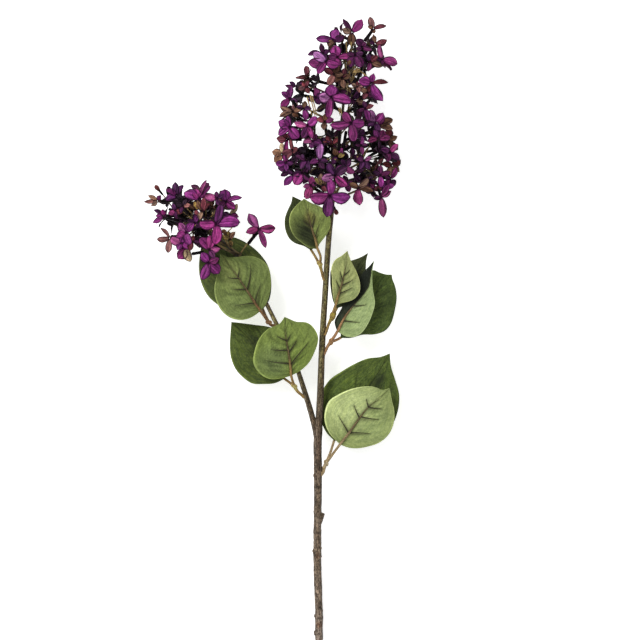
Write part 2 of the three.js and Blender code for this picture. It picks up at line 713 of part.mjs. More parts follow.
// A floret in one closed surface: four petals round the throat, the tube behind them, and a pedicel
// that runs on to the hub.
function floret([x, y, z, bearing, lean, turn, length, close], number, hub) {
  const throat = vec(x, y, z);
  const { out, u, v } = facing(bearing, lean);
  const ray = (angle) =>
    u.clone().multiplyScalar(Math.cos(radians(angle))).addScaledVector(v, Math.sin(radians(angle)));
  const points = [];
  const add = (p) => points.push(p) - 1;
  const pairUp = (spot, normal) => {
    const top = spot.clone().addScaledVector(normal, PETAL_THICKNESS / 2);
    const bottom = spot.clone().addScaledVector(normal, -PETAL_THICKNESS / 2);
    press(top, bottom);
    return [add(top), add(bottom)];
  };
  const notches = [0, 1, 2, 3].map((k) =>
    pairUp(throat.clone().addScaledVector(ray(turn + 90 * k - 45), THROAT_RADIUS), out),
  );
  const faces = [];
  for (let k = 0; k < 4; k++) {
    const angle = turn + 90 * k + 7 * draw(number, k);
    const reach = length * (1 + 0.08 * draw(number, k + 4));
    const shut = radians(close + 7 * draw(number, k + 8));
    const away = ray(angle);
    const across = ray(angle + 90).multiplyScalar((reach * PETAL_WIDTH_SHARE) / 2);
    const run = away.clone().multiplyScalar(Math.cos(shut)).addScaledVector(out, Math.sin(shut));
    const normal = out.clone().multiplyScalar(Math.cos(shut)).addScaledVector(away, -Math.sin(shut));
    const onPetal = (share, cup) =>
      throat.clone().addScaledVector(run, share * reach).addScaledVector(normal, cup * reach);
    const wide = onPetal(PETAL_WIDEST_AT, PETAL_CUP);
    const right = pairUp(wide.clone().sub(across), normal);
    const tip = pairUp(onPetal(1, -PETAL_CUP), normal);
    const left = pairUp(wide.clone().add(across), normal);
    const [from, to] = [notches[k], notches[(k + 1) % 4]];
    for (const [a, b, c] of [[from, right, tip], [from, tip, to], [to, tip, left]])
      faces.push(a[0], b[0], c[0], c[1], b[1], a[1]);
    for (const [a, b] of [[from, right], [right, tip], [tip, left], [left, to]])
      faces.push(a[0], a[1], b[1], a[0], b[1], b[0]);
  }
  const [n0, n1, n2, n3] = notches.map((pair) => pair[0]);
  faces.push(n0, n1, n2, n0, n2, n3);
  const tubeEnd = throat.clone().addScaledVector(out, -TUBE_LENGTH);
  const elbow = tubeEnd.clone().addScaledVector(out, -0.3 * tubeEnd.distanceTo(hub));
  const bend = new THREE.QuadraticBezierCurve3(tubeEnd, elbow, hub);
  const rings = [
    [tubeEnd, out.clone().negate(), TUBE_END_RADIUS],
    [hub, bend.getTangent(1), PEDICEL_RADIUS],
  ];
  let ring = notches.map((pair) => pair[1]);
  let [axis, s, t] = [out.clone().negate(), ray(turn - 45), ray(turn + 45)];
  for (const [middle, direction, radius] of rings) {
    const swing = new THREE.Quaternion().setFromUnitVectors(axis, direction);
    [axis, s, t] = [direction, s.clone().applyQuaternion(swing), t.clone().applyQuaternion(swing)];
    const spokes = [s, t, s.clone().negate(), t.clone().negate()];
    const next = spokes.map((spoke) => add(middle.clone().addScaledVector(spoke, radius)));
    for (let k = 0; k < 4; k++) {
      const [a, b, c, d] = [ring[k], ring[(k + 1) % 4], next[(k + 1) % 4], next[k]];
      faces.push(a, d, c, a, c, b);
    }
    ring = next;
  }
  faces.push(ring[0], ring[3], ring[2], ring[0], ring[2], ring[1]);
  const geometry = new THREE.BufferGeometry().setFromPoints(points).setIndex(faces);
  return solid(geometry);
}

// A closed bud on its pedicel.
function bud([x, y, z, bearing, lean], hub) {
  const { out } = facing(bearing, lean);
  const profile = [[0, 0], [2.2, 2.5], [2.4, 8], [0, 13]].map(([r, h]) => new THREE.Vector2(r, h));
  const drop = new THREE.LatheGeometry(profile, 4);
  drop.applyQuaternion(new THREE.Quaternion().setFromUnitVectors(vec(0, 1, 0), out));
  drop.translate(x, y, z);
  const foot = vec(x, y, z).addScaledVector(out, 1);
  const stops = [foot, hub].map((p) => [p.x, p.y, p.z, PEDICEL_RADIUS]);
  return fuse([solid(drop), bar(stops, 3, 1)]);
}

// The ends of a head's branchlets, in whorls up the rachis.
function whorlHubs(head) {
  const { first, step, count, each, reach, rise } = head.whorls;
  const hubs = [];
  for (let i = 0; i < count * each; i++) {
    const whorl = Math.floor(i / each);
    const y = first + step * whorl;
    const angle = radians(i * (360 / each) + whorl * GOLDEN_ANGLE);
    const out = reach * along(head.outline, y, 2);
    const x = along(head.outline, y) + out * Math.cos(angle);
    hubs.push(vec(x, y + rise, along(head.rachis, y, 2, 1) + out * Math.sin(angle)));
  }
  return hubs;
}

// Florets on the underside of a head: those pressed flat on the surface, and the rest spread by the
// golden angle from one end to the other.
function underFlorets(head) {
  const { count, first, last, reach } = head.under;
  const made = head.flat.map(([x, y, turn]) => [x, y, PETAL_THICKNESS / 2, 0, 180, turn, 15, 0]);
  for (let i = 0; i < count; i++) {
    const y = mix(first, last, (i + 0.5) / count);
    const turns = (i * GOLDEN_ANGLE) / 360;
    const swing = 95 * (2 * (turns - Math.floor(turns)) - 1);
    const out = reach * along(head.outline, y, 2);
    const x = along(head.outline, y) + out * Math.sin(radians(swing));
    const z = along(head.rachis, y, 2, 1) - out * Math.cos(radians(swing));
    const bearing = 90 - 60 * Math.sign(swing);
    const lean = 165 - 0.75 * Math.abs(swing);
    made.push([x, y, z, bearing, lean, 90 * draw(i, 20), 14 + 1.5 * draw(i, 21), 26 + 8 * draw(i, 22)]);
  }
  return made;
}

// Moves throats that are too near each other apart, up and down only.
function settle(florets) {
  for (let pass = 0; pass < SETTLE_PASSES; pass++)
    florets.forEach((a, i) => {
      for (const b of florets.slice(i + 1)) {
        const near = FLORET_SPACING - Math.hypot(a[0] - b[0], a[1] - b[1], a[2] - b[2]);
        if (near <= 0) continue;
        const push = (a[2] > b[2] ? 0.25 : -0.25) * near;
        a[2] = Math.min(HIGHEST_THROAT, a[2] + push);
        b[2] = Math.min(HIGHEST_THROAT, b[2] - push);
      }
    });
}

function panicle(head) {
  const hubs = head.hubs ? head.hubs.map(([x, y, z]) => vec(x, y, z)) : whorlHubs(head);
  const foot = head.rachis[0];
  const rachis = head.rachis.map(([x, y, z], i) => [x, y, z, RACHIS_RADIUS - 0.1 * i]);
  const solids = [bar(rachis, 6, 8)];
  for (const hub of hubs) {
    const y = Math.max(foot[1] + 2, hub.y - 14);
    const root = vec(along(head.rachis, y, 0, 1), y, along(head.rachis, y, 2, 1));
    const end = hub.clone().addScaledVector(hub.clone().sub(root).normalize(), 1.5);
    solids.push(bar([root, end].map((p) => [p.x, p.y, p.z, BRANCHLET_RADIUS]), 3, 1));
  }
  const nearestHub = (p) =>
    hubs.reduce((best, hub) => (hub.distanceTo(p) < best.distanceTo(p) ? hub : best));
  const florets = [...head.florets, ...underFlorets(head)];
  settle(florets);
  florets.forEach((plan, number) => {
    const { out } = facing(plan[3], plan[4]);
    const behind = vec(plan[0], plan[1], plan[2]).addScaledVector(out, -TUBE_LENGTH - 8);
    solids.push(floret(plan, number, nearestHub(behind)));
  });
  for (const plan of head.buds) solids.push(bud(plan, nearestHub(vec(plan[0], plan[1], plan[2]))));
  return fuse(solids);
}

// ---- The spray ------------------------------------------------------------------------------------

const finish = (color, roughness) => new THREE.MeshStandardMaterial({ color, roughness, metalness: 0 });
const bark = finish(0x6b5a45, 0.7);
const stalkWood = finish(0x77633f, 0.6);
const leafUnder = finish(0x93a565, 0.8);
const leafUpper = finish(0x4d6531, 0.75);
const petal = finish(0x6d2463, 0.75);

const spray = new THREE.Group();
spray.name = "lilac_spray";
spray.add(meshOf("stem", stem(), bark));
for (const [name, plan] of Object.entries(STALKS)) spray.add(meshOf(name, stalk(plan), stalkWood));
for (const [name, leaf] of Object.entries(LEAVES))
  spray.add(meshOf(name, blade(leaf), leaf.ribsUp ? leafUnder : leafUpper));
spray.add(meshOf("big_head", panicle(BIG_HEAD), petal));
spray.add(meshOf("small_head", panicle(SMALL_HEAD), petal));

const footprint = new THREE.Box3().setFromObject(spray);
const middle = footprint.getCenter(vec(0, 0, 0));
spray.position.set(-middle.x, -middle.y, -footprint.min.z);

export default spray;
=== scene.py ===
"""Look of an artificial lilac spray lying on a pale surface.

The spray is a bark-coated stem with a side branch, six forked leaf stalks with moulded ribs, twelve cloth
leaves, and two heads of cloth florets. The tables give millimetres from a working point near the stem's
middle, the same as the solids use, and degrees. Each mesh is built in those millimetres, and its last step
takes it to metres in the part's frame.
"""

import logging
import math
from bisect import bisect_right
from collections.abc import Callable, Iterable, Sequence
from dataclasses import dataclass, field, replace
from enum import Enum

import bmesh
import bpy
from mathutils import Matrix, Quaternion, Vector, noise


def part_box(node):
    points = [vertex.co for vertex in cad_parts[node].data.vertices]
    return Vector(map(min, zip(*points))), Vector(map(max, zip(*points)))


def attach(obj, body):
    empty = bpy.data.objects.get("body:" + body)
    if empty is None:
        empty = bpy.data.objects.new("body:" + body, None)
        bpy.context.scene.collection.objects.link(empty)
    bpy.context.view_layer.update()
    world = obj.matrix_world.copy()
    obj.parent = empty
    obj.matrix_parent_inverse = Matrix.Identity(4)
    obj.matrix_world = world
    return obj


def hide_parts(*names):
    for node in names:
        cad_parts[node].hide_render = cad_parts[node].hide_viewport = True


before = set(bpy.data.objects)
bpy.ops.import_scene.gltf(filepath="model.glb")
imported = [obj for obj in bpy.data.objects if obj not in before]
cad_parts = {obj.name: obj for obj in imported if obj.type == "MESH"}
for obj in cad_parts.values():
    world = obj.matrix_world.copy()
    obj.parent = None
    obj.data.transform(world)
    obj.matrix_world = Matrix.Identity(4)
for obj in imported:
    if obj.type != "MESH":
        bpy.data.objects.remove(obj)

LOG = logging.getLogger("lilac_spray")
BODY = "root"
MM = 0.001
UP = Vector((0.0, 0.0, 1.0))
GOLDEN_ANGLE = 137.5

Colour = tuple[float, float, float, float]
Rows = Sequence[Sequence[float]]
Spots = Sequence[tuple[float, float]]
Node = bpy.types.Node
Socket = bpy.types.NodeSocket
Vert = bmesh.types.BMVert
Edge = bmesh.types.BMEdge


# ---- Numbers and lines


def srgb(red: float, green: float, blue: float) -> Colour:
    """Scene-linear colour of a display colour given from 0 to 255."""
    levels = (value / 255 for value in (red, green, blue))
    return (*(v / 12.92 if v <= 0.04045 else ((v + 0.055) / 1.055) ** 2.4 for v in levels), 1.0)


def mix(first: float, second: float, share: float) -> float:
    """The number at a share of the way from first to second."""
    return first + (second - first) * share


def mix_colour(first: Colour, second: Colour, share: float) -> Colour:
    """The colour at a share of the way from first to second."""
    return tuple(mix(a, b, share) for a, b in zip(first, second))


def smooth(low: float, high: float, value: float) -> float:
    """0 below low, 1 above high, and an even curve between them."""
    t = min(1.0, max(0.0, (value - low) / (high - low)))
    return t * t * (3 - 2 * t)


def draw(thing: int, choice: int) -> float:
    """A repeatable draw between -1 and 1 for the numbered choice of a numbered thing."""
    wild = math.sin(thing * 127.1 + choice * 311.7) * 43758.5453
    return 2 * (wild - math.floor(wild)) - 1


def read(table: Rows, place: float, column: int = 1, key: int = 0) -> float:
    """Reads a table along the straight lines between its rows.

    Args:
        table: Rows in the order of their key column.
        place: The place along the key column.
        column: The column to read.
        key: The column that the rows are ordered by.

    Returns:
        The value in the column at that place.
    """
    i = 1
    while i < len(table) - 1 and table[i][key] < place:
        i += 1
    low, high = table[i - 1], table[i]
    share = min(1.0, max(0.0, (place - low[key]) / (high[key] - low[key])))
    return mix(low[column], high[column], share)


def on_axis(rows: Rows, along: float) -> Vector:
    """The point of a stem's axis, given as rows of across, along and height, at a place along it."""
    return Vector((read(rows, along, 0, 1), along, read(rows, along, 2, 1)))


def way(bearing: float, lean: float) -> Vector:
    """The direction that leans so far from straight up, towards a bearing round from +X."""
    b, n = math.radians(bearing), math.radians(lean)
    return Vector((math.sin(n) * math.cos(b), math.sin(n) * math.sin(b), math.cos(n)))


@dataclass
class Line:
    """A smooth centripetal curve through points, read by share of its length."""

    points: list[Vector]
    steps: int = 160
    lengths: list[float] = field(init=False)

    def __post_init__(self) -> None:
        """Measures the curve."""
        spots = [self.spot(i / self.steps) for i in range(self.steps + 1)]
        self.lengths = [0.0]
        for a, b in zip(spots, spots[1:]):
            self.lengths.append(self.lengths[-1] + (b - a).length)

    def spot(self, t: float) -> Vector:
        """The point at a parameter.

        Args:
            t: The parameter, which counts the given points evenly from 0 to 1.

        Returns:
            The point.
        """
        last = len(self.points) - 1
        place = t * last
        i = min(int(place), last - 1)
        w = place - i
        b, c = self.points[i], self.points[i + 1]
        a = self.points[i - 1] if i > 0 else b * 2 - c
        d = self.points[i + 2] if i + 2 <= last else c * 2 - b
        gaps = [max((q - p).length, 1e-6) ** 0.5 for p, q in ((a, b), (b, c), (c, d))]
        start = ((b - a) / gaps[0] - (c - a) / (gaps[0] + gaps[1]) + (c - b) / gaps[1]) * gaps[1]
        end = ((c - b) / gaps[1] - (d - b) / (gaps[1] + gaps[2]) + (d - c) / gaps[2]) * gaps[1]
        bend = (c - b) * 3 - start * 2 - end
        twist = (b - c) * 2 + start + end
        return b + start * w + bend * (w * w) + twist * (w * w * w)

    def parameter(self, share: float) -> float:
        """The parameter at a share of the length.

        Args:
            share: The share, from 0 to 1.

        Returns:
            The parameter.
        """
        goal = share * self.lengths[-1]
        i = min(bisect_right(self.lengths, goal) - 1, self.steps - 1)
        step = self.lengths[i + 1] - self.lengths[i]
        return (i + (goal - self.lengths[i]) / max(step, 1e-9)) / self.steps

    def at(self, share: float) -> Vector:
        """The point at a share of the length."""
        return self.spot(self.parameter(share))


# ---- Mesh tools

# The tip of leaf_b_back, which is the far corner of its box.
LEAF_B_TIP = Vector((48.0, 67.0, 0.0))


def to_part() -> Matrix:
    """The matrix from millimetres round the working point to metres in the part's frame."""
    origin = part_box("leaf_b_back")[1] - LEAF_B_TIP * MM
    return Matrix.Translation((origin.x, origin.y, 0.0)) @ Matrix.Scale(MM, 4)


TO_PART = to_part()


@dataclass(frozen=True)
class Stop:
    """A place along a rod: its centre, its radius and its colour."""

    centre: Vector
    radius: float
    tint: Colour


class Shape:
    """A mesh in the making, with the attributes that the finishes read.

    `tint` is the colour of the face and `lining` that of the back of a sheet. `run` is a place on the
    straightened piece: the two ways across and the way along a rod, or the ways across and along a blade
    and its number. A ball has its own place.
    """

    def __init__(self) -> None:
        """Starts an empty mesh."""
        self.bm = bmesh.new()
        self.tint = self.bm.verts.layers.float_color.new("tint")
        self.lining = self.bm.verts.layers.float_color.new("lining")
        self.run = self.bm.verts.layers.float_vector.new("run")

    def rod(self, stops: Sequence[Stop], sides: int) -> list[Vert]:
        """Grows a closed rod ring by ring through its stops.

        Args:
            stops: The places that the rod runs through, in order.
            sides: The number of sides round it.

        Returns:
            The vertices of the rod.
        """
        turned = Quaternion()
        axis = UP
        last = len(stops) - 1
        made: list[Vert] = []
        ring = bmesh.ops.create_circle(self.bm, cap_ends=True, radius=1.0, segments=sides)["verts"]
        edges = list(dict.fromkeys(edge for vert in ring for edge in vert.link_edges))
        for vert in ring:
            vert[self.run] = vert.co
        before = Matrix.Identity(4)
        length = 0.0
        for i, stop in enumerate(stops):
            if i:
                grown = bmesh.ops.extrude_edge_only(self.bm, edges=edges)["geom"]
                ring = [part for part in grown if isinstance(part, Vert)]
                edges = [part for part in grown if isinstance(part, Edge) and part.is_boundary]
                length += (stop.centre - stops[i - 1].centre).length
            ahead = (stops[min(i + 1, last)].centre - stops[max(i - 1, 0)].centre).normalized()
            turned = axis.rotation_difference(ahead) @ turned
            axis = ahead
            after = Matrix.LocRotScale(stop.centre, turned, Vector((stop.radius,) * 3))
            bmesh.ops.transform(self.bm, matrix=after @ before.inverted(), verts=ring)
            before = after
            for vert in ring:
                flat = Vector(vert[self.run][:2]).normalized() * stop.radius
                vert[self.run] = (flat.x, flat.y, length)
                vert[self.tint] = stop.tint
            made += ring
        bmesh.ops.holes_fill(self.bm, edges=edges, sides=sides)
        return made

    def ball(self, centre: Vector, size: Vector, turn: Quaternion, tints: tuple[Colour, Colour],
             rough: float = 0.0) -> None:
        """Adds a stretched ball.

        Args:
            centre: Its middle.
            size: Its three half widths.
            turn: How it is turned.
            tints: The colours of its hollows and of its lumps.
            rough: How lumpy it is, as a share of its size.
        """
        matrix = Matrix.LocRotScale(centre, turn, size)
        verts = bmesh.ops.create_icosphere(self.bm, subdivisions=2, radius=1.0, matrix=matrix)["verts"]
        for vert in verts:
            lump = noise.noise(vert.co * 0.8)
            vert.co += (vert.co - centre) * rough * lump
            vert[self.tint] = mix_colour(tints[0], tints[1], smooth(-0.3, 0.3, lump))
            vert[self.run] = vert.co

    def sheet(self, columns: int, rows: int, form: Callable[[float, float], tuple[Vector, Colour, Colour]],
              number: int) -> None:
        """Bends a grid into a blade whose face is on the side of across times along.

        Args:
            columns: Faces across.
            rows: Faces along.
            form: The place and both colours at (across from -1 to 1, along from 0 to 1).
            number: The number that the finish takes its own variation from.
        """
        verts = bmesh.ops.create_grid(self.bm, x_segments=columns, y_segments=rows, size=1.0)["verts"]
        for vert in verts:
            across, along = vert.co.x, (vert.co.y + 1) / 2
            place, tint, lining = form(across, along)
            vert.co = place
            vert[self.tint] = tint
            vert[self.lining] = lining
            vert[self.run] = (across, along, number)

    def publish(self, name: str, finishes: Sequence["Finish"], slot: str, nodes: Iterable[str],
                thickness: float = 0.0) -> bpy.types.Object:
        """Makes the mesh an object that rides on the part and stands for its nodes.

        Args:
            name: The piece's name.
            finishes: Its finish, and for a sheet the finish of its back and of its rim.
            slot: The record's material slot; not used.
            nodes: The nodes that it stands for.
            thickness: The thickness of a sheet in millimetres, or 0 for a closed mesh.

        Returns:
            The finished object.
        """
        bmesh.ops.transform(self.bm, matrix=TO_PART, verts=self.bm.verts)
        if not thickness:
            bmesh.ops.recalc_face_normals(self.bm, faces=self.bm.faces)
        for face in self.bm.faces:
            face.smooth = True
        mesh = bpy.data.meshes.new(name)
        self.bm.to_mesh(mesh)
        self.bm.free()
        piece = bpy.data.objects.new(name, mesh)
        bpy.context.scene.collection.objects.link(piece)
        for finish in finishes:
            mesh.materials.append(finish.material())
        if thickness:
            wall = piece.modifiers.new("thickness", "SOLIDIFY")
            wall.thickness = thickness * MM
            wall.offset = 0.0
            wall.material_offset = 1
            wall.material_offset_rim = 2
        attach(piece, BODY)
        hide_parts(*nodes)
        LOG.info("%s: %d faces, for %s", name, len(mesh.polygons), ", ".join(nodes))
        return piece


# ---- Finishes


class Nodes:
    """Adds and links the nodes of one shader tree."""

    def __init__(self, tree: bpy.types.NodeTree) -> None:
        """Takes the tree to work in."""
        self.tree = tree

    def add(self, kind: str, inputs: dict | None = None, **settings: object) -> Node:
        """Adds a node.

        Args:
            kind: The node's type name.
            inputs: A value or a socket for each input, by name or number.
            **settings: The node's own properties.

        Returns:
            The new node.
        """
        node = self.tree.nodes.new(kind)
        for key, value in settings.items():
            setattr(node, key, value)
        for key, value in (inputs or {}).items():
            if isinstance(value, Socket):
                self.link(value, node.inputs[key])
            else:
                node.inputs[key].default_value = value
        return node

    def link(self, source: Socket, target: Socket) -> None:
        """Links an output to an input."""
        self.tree.links.new(source, target)

    def math(self, operation: str, *numbers: Socket | float, clamp: bool = False) -> Socket:
        """The answer of one operation on up to three numbers, held between 0 and 1 if clamp is set."""
        node = self.add("ShaderNodeMath", dict(enumerate(numbers)), operation=operation, use_clamp=clamp)
        return node.outputs[0]

    def times(self, first: Socket, second: Socket | float) -> Socket:
        """The product of two numbers."""
        return self.math("MULTIPLY", first, second)

    def less(self, first: Socket | float, second: Socket | float) -> Socket:
        """The first number less the second."""
        return self.math("SUBTRACT", first, second)

    def blend(self, share: Socket, first: Socket | Colour, second: Colour, kind: str = "MIX") -> Socket:
        """The first colour with a share of the second blended in, in the given way."""
        node = self.add("ShaderNodeMix", {0: share, 6: first, 7: second}, data_type="RGBA", blend_type=kind)
        return node.outputs[2]

    def toned(self, colour: Socket, *layers: tuple[Colour, Socket, float]) -> Socket:
        """Multiplies a colour by one factor after the other.

        Args:
            colour: The colour to start from.
            *layers: The factor of each layer, the mask that shows where it lies, and its strength.

        Returns:
            The colour that comes out.
        """
        for factor, mask, share in layers:
            colour = self.blend(self.times(mask, share), colour, factor, "MULTIPLY")
        return colour

    def step(self, value: Socket, low: Socket | float, high: Socket | float) -> Socket:
        """A smooth step from 0 at low to 1 at high."""
        ends = {"Value": value, "From Min": low, "From Max": high, "To Min": 0.0, "To Max": 1.0}
        return self.add("ShaderNodeMapRange", ends, interpolation_type="SMOOTHSTEP").outputs[0]

    def stretched(self, place: Socket, scale: tuple[float, float, float]) -> Socket:
        """A place scaled along each axis."""
        return self.add("ShaderNodeMapping", {"Vector": place, "Scale": scale}).outputs[0]

    def group(self, tree: bpy.types.NodeTree, inputs: dict) -> Socket:
        """The first output of a node group placed with its own values."""
        return self.add("ShaderNodeGroup", inputs, node_tree=tree).outputs[0]

    def mottle(self, place: Socket, grain: "Grain") -> Socket:
        """Soft uneven patches of a grain, from 0 to 1."""
        values = {"Vector": place, "Scale": grain.scale, "Low": grain.low, "High": grain.high}
        return self.group(Effects.mottle, values)


@dataclass(frozen=True)
class Grain:
    """How fine a mottle is, and where its patches start and are full."""

    scale: float
    low: float
    high: float


def new_group(name: str, numbers: Sequence[str]) -> tuple[Nodes, dict[str, Socket], Socket]:
    """Starts a shader node group with a vector input, number inputs and one number output.

    Args:
        name: The group's name.
        numbers: The names of its number inputs.

    Returns:
        The group's nodes, what its inputs give by name, and the socket of its output.
    """
    tree = bpy.data.node_groups.new(name, "ShaderNodeTree")
    tree.interface.new_socket(name="Vector", in_out="INPUT", socket_type="NodeSocketVector")
    for label in numbers:
        tree.interface.new_socket(name=label, in_out="INPUT", socket_type="NodeSocketFloat")
    tree.interface.new_socket(name="Mask", in_out="OUTPUT", socket_type="NodeSocketFloat")
    nodes = Nodes(tree)
    given = nodes.add("NodeGroupInput").outputs
    return nodes, given, nodes.add("NodeGroupOutput").inputs[0]


class Effects:
    """The patterns that several finishes share, each built once."""

    mottle: bpy.types.NodeTree
    weave: bpy.types.NodeTree
    veins: bpy.types.NodeTree

    @classmethod
    def build(cls) -> None:
        """Builds the groups."""
        cls.mottle = cls._mottle()
        cls.weave = cls._weave()
        cls.veins = cls._veins()

    @staticmethod
    def _mottle() -> bpy.types.NodeTree:
        """Soft uneven patches, from 0 to 1.

        Returns:
            The group.
        """
        nodes, given, out = new_group("mottle", ("Scale", "Low", "High"))
        values = {"Vector": given["Vector"], "Scale": given["Scale"], "Detail": 4.0, "Roughness": 0.62}
        spots = nodes.add("ShaderNodeTexNoise", values)
        nodes.link(nodes.step(spots.outputs[0], given["Low"], given["High"]), out)
        return nodes.tree

    @staticmethod
    def _weave() -> bpy.types.NodeTree:
        """The height of a plain weave, from 0 to 1.

        Returns:
            The group.
        """
        nodes, given, out = new_group("weave", ("Threads",))
        split = nodes.add("ShaderNodeSeparateXYZ", {0: given["Vector"]})
        waves = []
        for axis in (0, 1):
            turns = nodes.times(split.outputs[axis], given["Threads"])
            waves.append(nodes.math("SINE", nodes.times(turns, 2 * math.pi)))
        nodes.link(nodes.math("MULTIPLY_ADD", nodes.times(*waves), 0.5, 0.5), out)
        return nodes.tree

    @staticmethod
    def _veins() -> bpy.types.NodeTree:
        """Side veins that rise from the middle of a blade towards its edges, from 0 to 1.

        Returns:
            The group.
        """
        nodes, given, out = new_group("veins", ("Count", "Slope", "Width"))
        waver = nodes.add("ShaderNodeTexNoise", {"Vector": given["Vector"], "Scale": 3.0, "Detail": 2.0})
        split = nodes.add("ShaderNodeSeparateXYZ", {0: given["Vector"]})
        rise = nodes.times(nodes.math("ABSOLUTE", split.outputs[0]), given["Slope"])
        place = nodes.times(split.outputs[1], given["Count"])
        wavy = nodes.math("ADD", nodes.less(place, rise), nodes.times(waver.outputs[0], 0.9))
        off = nodes.math("ABSOLUTE", nodes.less(nodes.math("FRACT", wavy), 0.5))
        share = nodes.math("DIVIDE", off, given["Width"], clamp=True)
        nodes.link(nodes.math("SUBTRACT", 1.0, share, clamp=True), out)
        return nodes.tree


@dataclass(frozen=True)
class Finish:
    """A finish made once and shared by the pieces that wear it."""

    name: str
    roughness: float = 0.6

    def material(self) -> bpy.types.Material:
        """Builds the material the first time that it is asked for.

        Returns:
            The material.
        """
        found = bpy.data.materials.get(self.name)
        if found:
            return found
        material = bpy.data.materials.new(self.name)
        material.use_nodes = True
        material.node_tree.nodes.clear()
        nodes = Nodes(material.node_tree)
        shader = nodes.add("ShaderNodeBsdfPrincipled", {"Roughness": self.roughness})
        output = nodes.add("ShaderNodeOutputMaterial")
        nodes.link(shader.outputs[0], output.inputs[0])
        self.dress(nodes, shader)
        return material

    def dress(self, nodes: Nodes, shader: Node) -> None:
        """Gives the shader its colour, roughness and relief."""
        raise NotImplementedError

    @staticmethod
    def attribute(nodes: Nodes, name: str, output: str = "Color") -> Socket:
        """What one of the mesh's attributes says."""
        return nodes.add("ShaderNodeAttribute", attribute_name=name).outputs[output]

    @staticmethod
    def paint(nodes: Nodes, shader: Node, colour: Socket, rough: Socket, shine: float) -> None:
        """Gives the shader its colour, its roughness and its shine.

        Args:
            nodes: The material's nodes.
            shader: Its shader.
            colour: What gives its colour.
            rough: What gives its roughness.
            shine: How strongly it mirrors.
        """
        nodes.link(colour, shader.inputs["Base Color"])
        nodes.link(rough, shader.inputs["Roughness"])
        shader.inputs["Specular IOR Level"].default_value = shine

    @staticmethod
    def bump(nodes: Nodes, shader: Node, height: Socket, strength: float, depth: float) -> None:
        """Feeds a height to the shader's normal, with its strength and its depth in metres."""
        node = nodes.add("ShaderNodeBump", {"Height": height, "Strength": strength, "Distance": depth})
        nodes.link(node.outputs[0], shader.inputs["Normal"])


@dataclass(frozen=True)
class LeafFinish(Finish):
    """Printed cloth of a leaf: mottled green, pressed side veins with painted shade in the creases of the
    pleats between them, a fine weave, a paler cut edge with a painted highlight on the left, and painted
    shade on the right edge of upper faces.

    The patterns multiply the base colour, which is read from the attribute that `source` names.
    """

    PATCHES = Grain(90.0, 0.42, 0.66)
    BLOTS = Grain(260.0, 0.4, 0.64)
    FLECKS = Grain(700.0, 0.4, 0.64)
    FIBRES = Grain(2.6, 0.42, 0.62)
    FIBRE_STRETCH = (10.0, 3.0, 1.0)
    SLOPE = 2.6
    THREADS = 2400.0

    source: str = "tint"
    shade: Colour = (0.62, 0.66, 0.58, 1.0)
    glow: Colour = (1.3, 1.26, 1.12, 1.0)
    vein: Colour = (0.55, 0.6, 0.55, 1.0)
    # The left edge is a paler cut hem with a painted highlight. The right edge takes painted shade, except
    # on undersides, where it is a paler cut edge.
    hem_highlight: Colour = (2.2, 2.1, 2.3, 1.0)
    far_edge: Colour = (0.62, 0.66, 0.58, 1.0)
    shade_share: float = 0.6
    blot_share: float = 0.6
    glow_share: float = 0.6
    grain_share: float = 0.6
    vein_share: float = 0.5
    # The strength of the painted shade in the creases of the pleats.
    crease_share: float = 0.2
    hem_highlight_share: float = 0.9
    far_share: float = 0.8
    relief: float = 0.5

    def dress(self, nodes: Nodes, shader: Node) -> None:
        """Gives the shader its colour, roughness and relief.

        Args:
            nodes: The material's nodes.
            shader: Its shader.
        """
        place = nodes.add("ShaderNodeTexCoord").outputs["Object"]
        run = self.attribute(nodes, "run", "Vector")
        across = nodes.add("ShaderNodeSeparateXYZ", {0: run}).outputs[0]
        patches = nodes.mottle(place, self.PATCHES)
        flecks = nodes.mottle(place, self.FLECKS)
        fibres = nodes.mottle(nodes.stretched(run, self.FIBRE_STRETCH), self.FIBRES)
        ribbed = {"Vector": run, "Slope": self.SLOPE}
        veins = nodes.group(Effects.veins, ribbed | {"Count": 7.0, "Width": 0.13})
        pleats = nodes.group(Effects.veins, ribbed | {"Count": 17.0, "Width": 0.4})
        out = nodes.math("ABSOLUTE", across)
        middle = nodes.less(1.0, nodes.step(out, 0.0, 0.05))
        fading = nodes.less(1.0, nodes.step(out, 0.45, 0.95))
        lines = nodes.math("MAXIMUM", nodes.times(veins, fading), middle)
        left = nodes.times(across, -1.0)
        colour = nodes.toned(
            self.attribute(nodes, self.source),
            (self.shade, patches, self.shade_share),
            (self.shade, nodes.mottle(place, self.BLOTS), self.blot_share * self.shade_share),
            # Painted shade in the creases of the pleats between the side veins.
            (self.shade, nodes.times(pleats, nodes.less(1.0, patches)), self.crease_share),
            (self.glow, fibres, self.glow_share),
            (self.shade, flecks, self.grain_share),
            (self.vein, lines, self.vein_share),
            # A painted highlight on the paler left hem, and painted shade on the right edge except on
            # undersides.
            (self.hem_highlight, nodes.step(left, 0.93, 0.98), self.hem_highlight_share),
            (self.far_edge, nodes.step(across, 0.95, 0.99), self.far_share),
        )
        weave = nodes.group(Effects.weave, {"Vector": place, "Threads": self.THREADS})
        dents = nodes.less(nodes.times(weave, 0.12), lines)
        self.bump(nodes, shader, nodes.math("MULTIPLY_ADD", fibres, 0.35, dents), self.relief, 0.0004)
        rough = nodes.math("MULTIPLY_ADD", flecks, 0.16, self.roughness - 0.08)
        self.paint(nodes, shader, colour, rough, 0.2)


